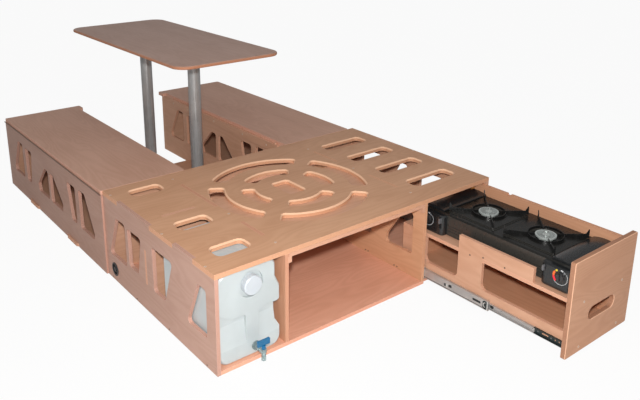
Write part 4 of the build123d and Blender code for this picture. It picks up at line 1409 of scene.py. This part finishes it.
# Red, orange, yellow and the thin white line are print; the short white and grey stretches are painted
# highlights on the ring.
DIAL_MARKS = (
    DialMark("red", 0.0190, 0.0258, -52.0, -8.0, DIAL_RED),
    DialMark("orange", 0.0190, 0.0258, -5.0, 34.0, DIAL_ORANGE),
    DialMark("yellow", 0.0195, 0.0254, 42.0, 62.0, DIAL_YELLOW),
    DialMark("white", 0.0205, 0.0254, 92.0, 112.0, DIAL_WHITE_AND_HIGHLIGHT),
    DialMark("grey", 0.0210, 0.0250, 118.0, 138.0, DIAL_GREY_HIGHLIGHT),
    DialMark("line", 0.0252, 0.0266, 142.0, 318.0, DIAL_WHITE_AND_HIGHLIGHT),
)


@dataclass
class Stove(Assembly):
    """The two-burner stove on the drawer's shelf.

    Attributes:
        knob_radius: The radius of a knob in metres.
        skirt: How far its skirt stands out past that radius.
        skirt_depths: Where the skirt ends, and where the round part starts.
        dome: Pairs of a share of the knob's depth and how far it is drawn in there.
        crown: The share of its depth that is round.
        crown_radius: The radius at which the round part ends.
        grip_width: The width of its grip bar.
        grip_inset: How far the bar ends short of the knob's two sides together.
        grip_sink: How deep the bar is sunk in the round part.
        grip_bevel: How far the bar's edges are rounded.
        grip_shortest: The length from which an edge of the bar is rounded.
        dial_lift: How far the dial's marks stand out, and how deep they are sunk.
        port_count: How many flame ports a burner's middle has.
        port_ring: The radius of their ring.
        slit_count: How many slits a burner's ring has.
        slit_reach: The inner and outer radius of the slits.
        slit_width: The width of a slit at its outer end.
    """

    body: str = "drawer"
    knob_radius: float = 0.0148
    skirt: float = 0.0015
    skirt_depths: Span = (0.0018, 0.0024)
    dome: tuple[Span, ...] = ((0.52, 0.0012), (0.60, 0.0028))
    crown: float = 0.62
    crown_radius: float = 0.0040
    grip_width: float = 0.0062
    grip_inset: float = 0.005
    grip_sink: float = 0.001
    grip_bevel: float = 0.0012
    grip_shortest: float = 0.005
    dial_lift: float = 0.0003
    port_count: int = 8
    port_ring: float = 0.0065
    slit_count: int = 26
    slit_reach: Span = (0.0115, 0.0300)
    slit_width: float = 0.0026

    def finishes(self) -> dict[str, Finish]:
        """Returns: the finish of each CAD node of the stove."""
        found = {
            "stove_body": STOVE,
            "control_pods": POD,
            "burner_heads": BURNER,
            "pan_supports": GRATE,
            "flame_guards": GRATE,
        }
        for place in ("front", "rear"):
            found[f"{place}_knob"] = KNOB
            found[f"{place}_cartridge_cover"] = POD
            found[f"{place}_cartridge_lever"] = GREY
        return found

    def knob(self, place: str) -> None:
        """Models a knob with a domed rim and a grip bar, in place of the plain one.

        Args:
            place: Which knob, "front" or "rear".
        """
        low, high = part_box(f"{place}_knob")
        _, y, z = centre(low, high)
        radius, depth = self.knob_radius, high[0] - low[0]
        reach = depth * self.crown
        skirt_end, round_start = self.skirt_depths
        profile = (
            (0.0, radius + self.skirt),
            (skirt_end, radius + self.skirt),
            (round_start, radius),
            *((depth * share, radius - inset) for share, inset in self.dome),
            (reach, self.crown_radius),
        )
        form = turned((high[0], y, z), profile)
        grip = bmesh.ops.create_cube(form, size=1.0)["verts"]
        size = (depth - reach + self.grip_sink, self.grip_width, 2 * radius - self.grip_inset)
        middle = (high[0] - (depth + reach - self.grip_sink) / 2, y, z)
        bmesh.ops.scale(form, verts=grip, vec=size)
        bmesh.ops.translate(form, verts=grip, vec=middle)
        bar = set(grip)
        on_bar = [edge for edge in form.edges if edge.verts[0] in bar]
        long_edges = [edge for edge in on_bar if edge.calc_length() > self.grip_shortest]
        bmesh.ops.bevel(form, geom=long_edges, offset=self.grip_bevel, segments=2, affect="EDGES")
        mesh = finished(form, f"{place}_knob_look")
        self.piece(f"{place}_knob_look", mesh, KNOB, f"{place}_knob", body=f"{place}_stove_knob")

    def dial(self, place: str) -> None:
        """Adds the coloured marks around a knob: print, and two painted highlights.

        Args:
            place: Which knob, "front" or "rear".
        """
        low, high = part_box(f"{place}_knob")
        _, y, z = centre(low, high)
        foot, thickness = (high[0] + self.dial_lift, y, z), 2 * self.dial_lift
        for mark in DIAL_MARKS:
            mesh = ring_band(foot, mark.inside, mark.outside, mark.start, mark.end, thickness)
            self.piece(f"{place}_dial_{mark.name}", mesh, mark.finish)

    def build(self) -> None:
        """Adds the knobs with their dials, and the flame ports and slits of the burners as dark flat marks
        of painted shade.
        """
        for place in ("front", "rear"):
            self.knob(place)
            self.dial(place)
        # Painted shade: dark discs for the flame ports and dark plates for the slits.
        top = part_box("burner_heads")[1][2]
        middles = [(x, y, top) for x, y, _ in loose_parts("burner_heads")]
        turns = [math.tau * index / self.port_count for index in range(self.port_count)]
        ports = [
            (x + self.port_ring * math.cos(turn), y + self.port_ring * math.sin(turn), top)
            for x, y, _ in middles
            for turn in turns
        ]
        self.studs("flame_ports", FLAME_PORT, ports, (0, 0, 1), RECESS_SHADE)
        slits = slit_rings(middles, self.slit_reach, self.slit_count, self.slit_width)
        self.piece("burner_slits", slits, SLIT_SHADE)


@dataclass
class Canister(Assembly):
    """The water canister with its cap and tap."""

    body: str = "canister"

    def finishes(self) -> dict[str, Finish]:
        """Returns: the finish of each CAD node of the canister."""
        return {"canister_body": CANISTER, "canister_cap": CAP, "tap_body": TAP, "tap_lever": BLUE}


# --------------------------------------------------------------------------------------
# Studio


def heading(azimuth: float, down: float) -> Vector:
    """Finds a direction.

    Args:
        azimuth: Its turn from +Y towards +X, in degrees.
        down: How far it points down, in degrees.

    Returns:
        The direction, of length 1.
    """
    turn, dip = math.radians(azimuth), math.radians(down)
    return Vector((math.sin(turn) * math.cos(dip), math.cos(turn) * math.cos(dip), -math.sin(dip)))


@dataclass
class Studio:
    """Camera, lights, world and floor.

    Attributes:
        position: The camera's place in metres.
        azimuth: The camera's heading from +Y towards +X, in degrees.
        tilt: How far it looks down, in degrees.
        roll: Its roll in degrees.
        focal: The focal length in pixels of the frame.
        principal: The principal point in that frame, in pixels.
        width: The frame's width in pixels.
        height: The frame's height in pixels.
        sensor: The sensor's width in millimetres.
        clip: The nearest and farthest distance that it sees, in metres.
        key_offset: The main light's place beside the camera, in metres.
        key_aim: Where the main light points, in metres.
        key_size: Its width in metres.
        key_power: Its power in watts.
        key_colour: Its colour.
        fill_heading: The sun's turn and its height above the horizon, in degrees.
        fill_spread: The width of the sun in the sky, in degrees.
        fill_strength: The sun's strength.
        ambient: The strength of the world.
        horizon: What the world adds to that at the level of the eye towards +Y.
        horizon_turn: Where that starts and is whole, as the Y of a direction.
        horizon_top: Where it has faded out, as the Z of a direction.
        floor_depth: How far the floor lies below the object, in metres.
        floor_size: Half the floor's width in metres.
        floor_colours: The two colours of its specks.
        floor_roughness: How rough it is.
        floor_glow: How much of it the camera sees as plain white.
    """

    position: Point = (-0.94084, -1.59426, 1.37338)
    azimuth: float = 37.39
    tilt: float = 16.60
    roll: float = -0.07
    focal: float = 719.396
    principal: Span = (291.01, 112.75)
    width: int = 640
    height: int = 400
    sensor: float = 36.0
    clip: Span = (0.05, 60.0)
    key_offset: Point = (0.0, 0.0, 0.16)
    key_aim: Point = (0.62, 0.45, 0.15)
    key_size: float = 0.10
    key_power: float = 66.0
    key_colour: Colour = (1.0, 0.985, 0.96)
    fill_heading: Span = (38.0, 70.0)
    fill_spread: float = 90.0
    fill_strength: float = 0.35
    ambient: float = 0.22
    horizon: float = 0.55
    horizon_turn: Span = (0.1, 0.6)
    horizon_top: float = 0.30
    floor_depth: float = 0.0005
    floor_size: float = 30.0
    floor_colours: tuple[Colour, Colour] = ((0.80, 0.80, 0.79), (0.83, 0.83, 0.82))
    floor_roughness: float = 0.8
    floor_glow: float = 0.93

    def camera(self) -> None:
        """Places the camera."""
        data = bpy.data.cameras.new("camera")
        data.sensor_width = self.sensor
        data.lens = self.focal / self.width * data.sensor_width
        data.shift_x = (self.width / 2 - self.principal[0]) / self.width
        data.shift_y = (self.principal[1] - self.height / 2) / self.width
        data.clip_start, data.clip_end = self.clip
        camera = bpy.data.objects.new("camera", data)
        level = heading(self.azimuth, self.tilt).to_track_quat("-Z", "Y").to_matrix()
        turn = level @ Matrix.Rotation(math.radians(self.roll), 3, "Z")
        camera.matrix_world = Matrix.Translation(self.position) @ turn.to_4x4()
        bpy.context.scene.collection.objects.link(camera)
        bpy.context.scene.camera = camera

    @staticmethod
    def hang(data: bpy.types.Light, place: Vector, ray: Vector) -> None:
        """Hangs a lamp.

        Args:
            data: The lamp's data.
            place: Where it hangs, in metres.
            ray: The way that it shines.
        """
        lamp = bpy.data.objects.new(data.name, data)
        lamp.location = place
        lamp.rotation_mode = "QUATERNION"
        lamp.rotation_quaternion = ray.to_track_quat("-Z", "Y")
        bpy.context.scene.collection.objects.link(lamp)

    def key(self) -> None:
        """Adds the main soft light, close to the camera."""
        data = bpy.data.lights.new("key", "AREA")
        data.shape, data.size = "DISK", self.key_size
        data.energy, data.color = self.key_power, self.key_colour
        place = Vector(self.position) + Vector(self.key_offset)
        self.hang(data, place, Vector(self.key_aim) - place)

    def fill(self) -> None:
        """Adds a broad sun high behind the camera."""
        data = bpy.data.lights.new("fill", "SUN")
        data.energy, data.angle = self.fill_strength, math.radians(self.fill_spread)
        data.color = WHITE
        self.hang(data, Vector(), heading(*self.fill_heading))

    def world(self) -> None:
        """Makes a soft world that the camera sees as white."""
        world = bpy.data.worlds.new("studio")
        world.use_nodes = True
        graph = Graph(world.node_tree)
        _, ahead, up = graph.split("Generated")
        wall = ahead.ramp(*self.horizon_turn, shape="LINEAR")
        level = up.ramp(0.0, self.horizon_top, self.horizon, 0.0, shape="LINEAR")
        background = graph.tree.nodes["Background"]
        graph.feed(background.inputs["Color"], WHITE)
        strength = (wall * level + self.ambient).at_least(graph.camera_ray())
        graph.feed(background.inputs["Strength"], strength)
        bpy.context.scene.world = world

    def floor(self) -> None:
        """Lays a pale floor that the camera sees as near white, with the object's shadow."""
        form = bmesh.new()
        bmesh.ops.create_grid(form, x_segments=2, y_segments=2, size=self.floor_size)
        mesh = finished(form, "floor", turn=False)
        floor = bpy.data.objects.new("floor", mesh)
        floor.location.z = -self.floor_depth
        bpy.context.scene.collection.objects.link(floor)
        graph = Surface("floor")
        speck = graph.noise(graph.place(), scale=5.0, detail=3.0)
        graph.set(Base_Color=graph.blend(speck, *self.floor_colours), Roughness=self.floor_roughness)
        lit = Value(graph, graph.shader.outputs[0])
        glow = graph.value("ShaderNodeEmission")
        seen = graph.camera_ray() * self.floor_glow
        shown = graph.value("ShaderNodeMixShader", {0: seen, 1: lit, 2: glow})
        graph.feed(graph.output.inputs[0], shown)
        mesh.materials.append(graph.material)

    def build(self) -> None:
        """Sets up the whole studio."""
        bpy.context.scene.view_settings.view_transform = "Standard"
        self.camera()
        self.key()
        self.fill()
        self.world()
        self.floor()


def main() -> None:
    """Dresses the object, adds its fine pieces and sets up the studio."""
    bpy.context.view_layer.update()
    assemblies: list[Assembly] = [Box(), Benches(), Table(), Drawer(), Stove(), Canister()]
    for assembly in assemblies:
        assembly.dress()
        assembly.build()
        LOG.info("%s: %d pieces of its own", type(assembly).__name__, len(assembly.made))
    Studio().build()


if __name__ == "__main__":
    main()
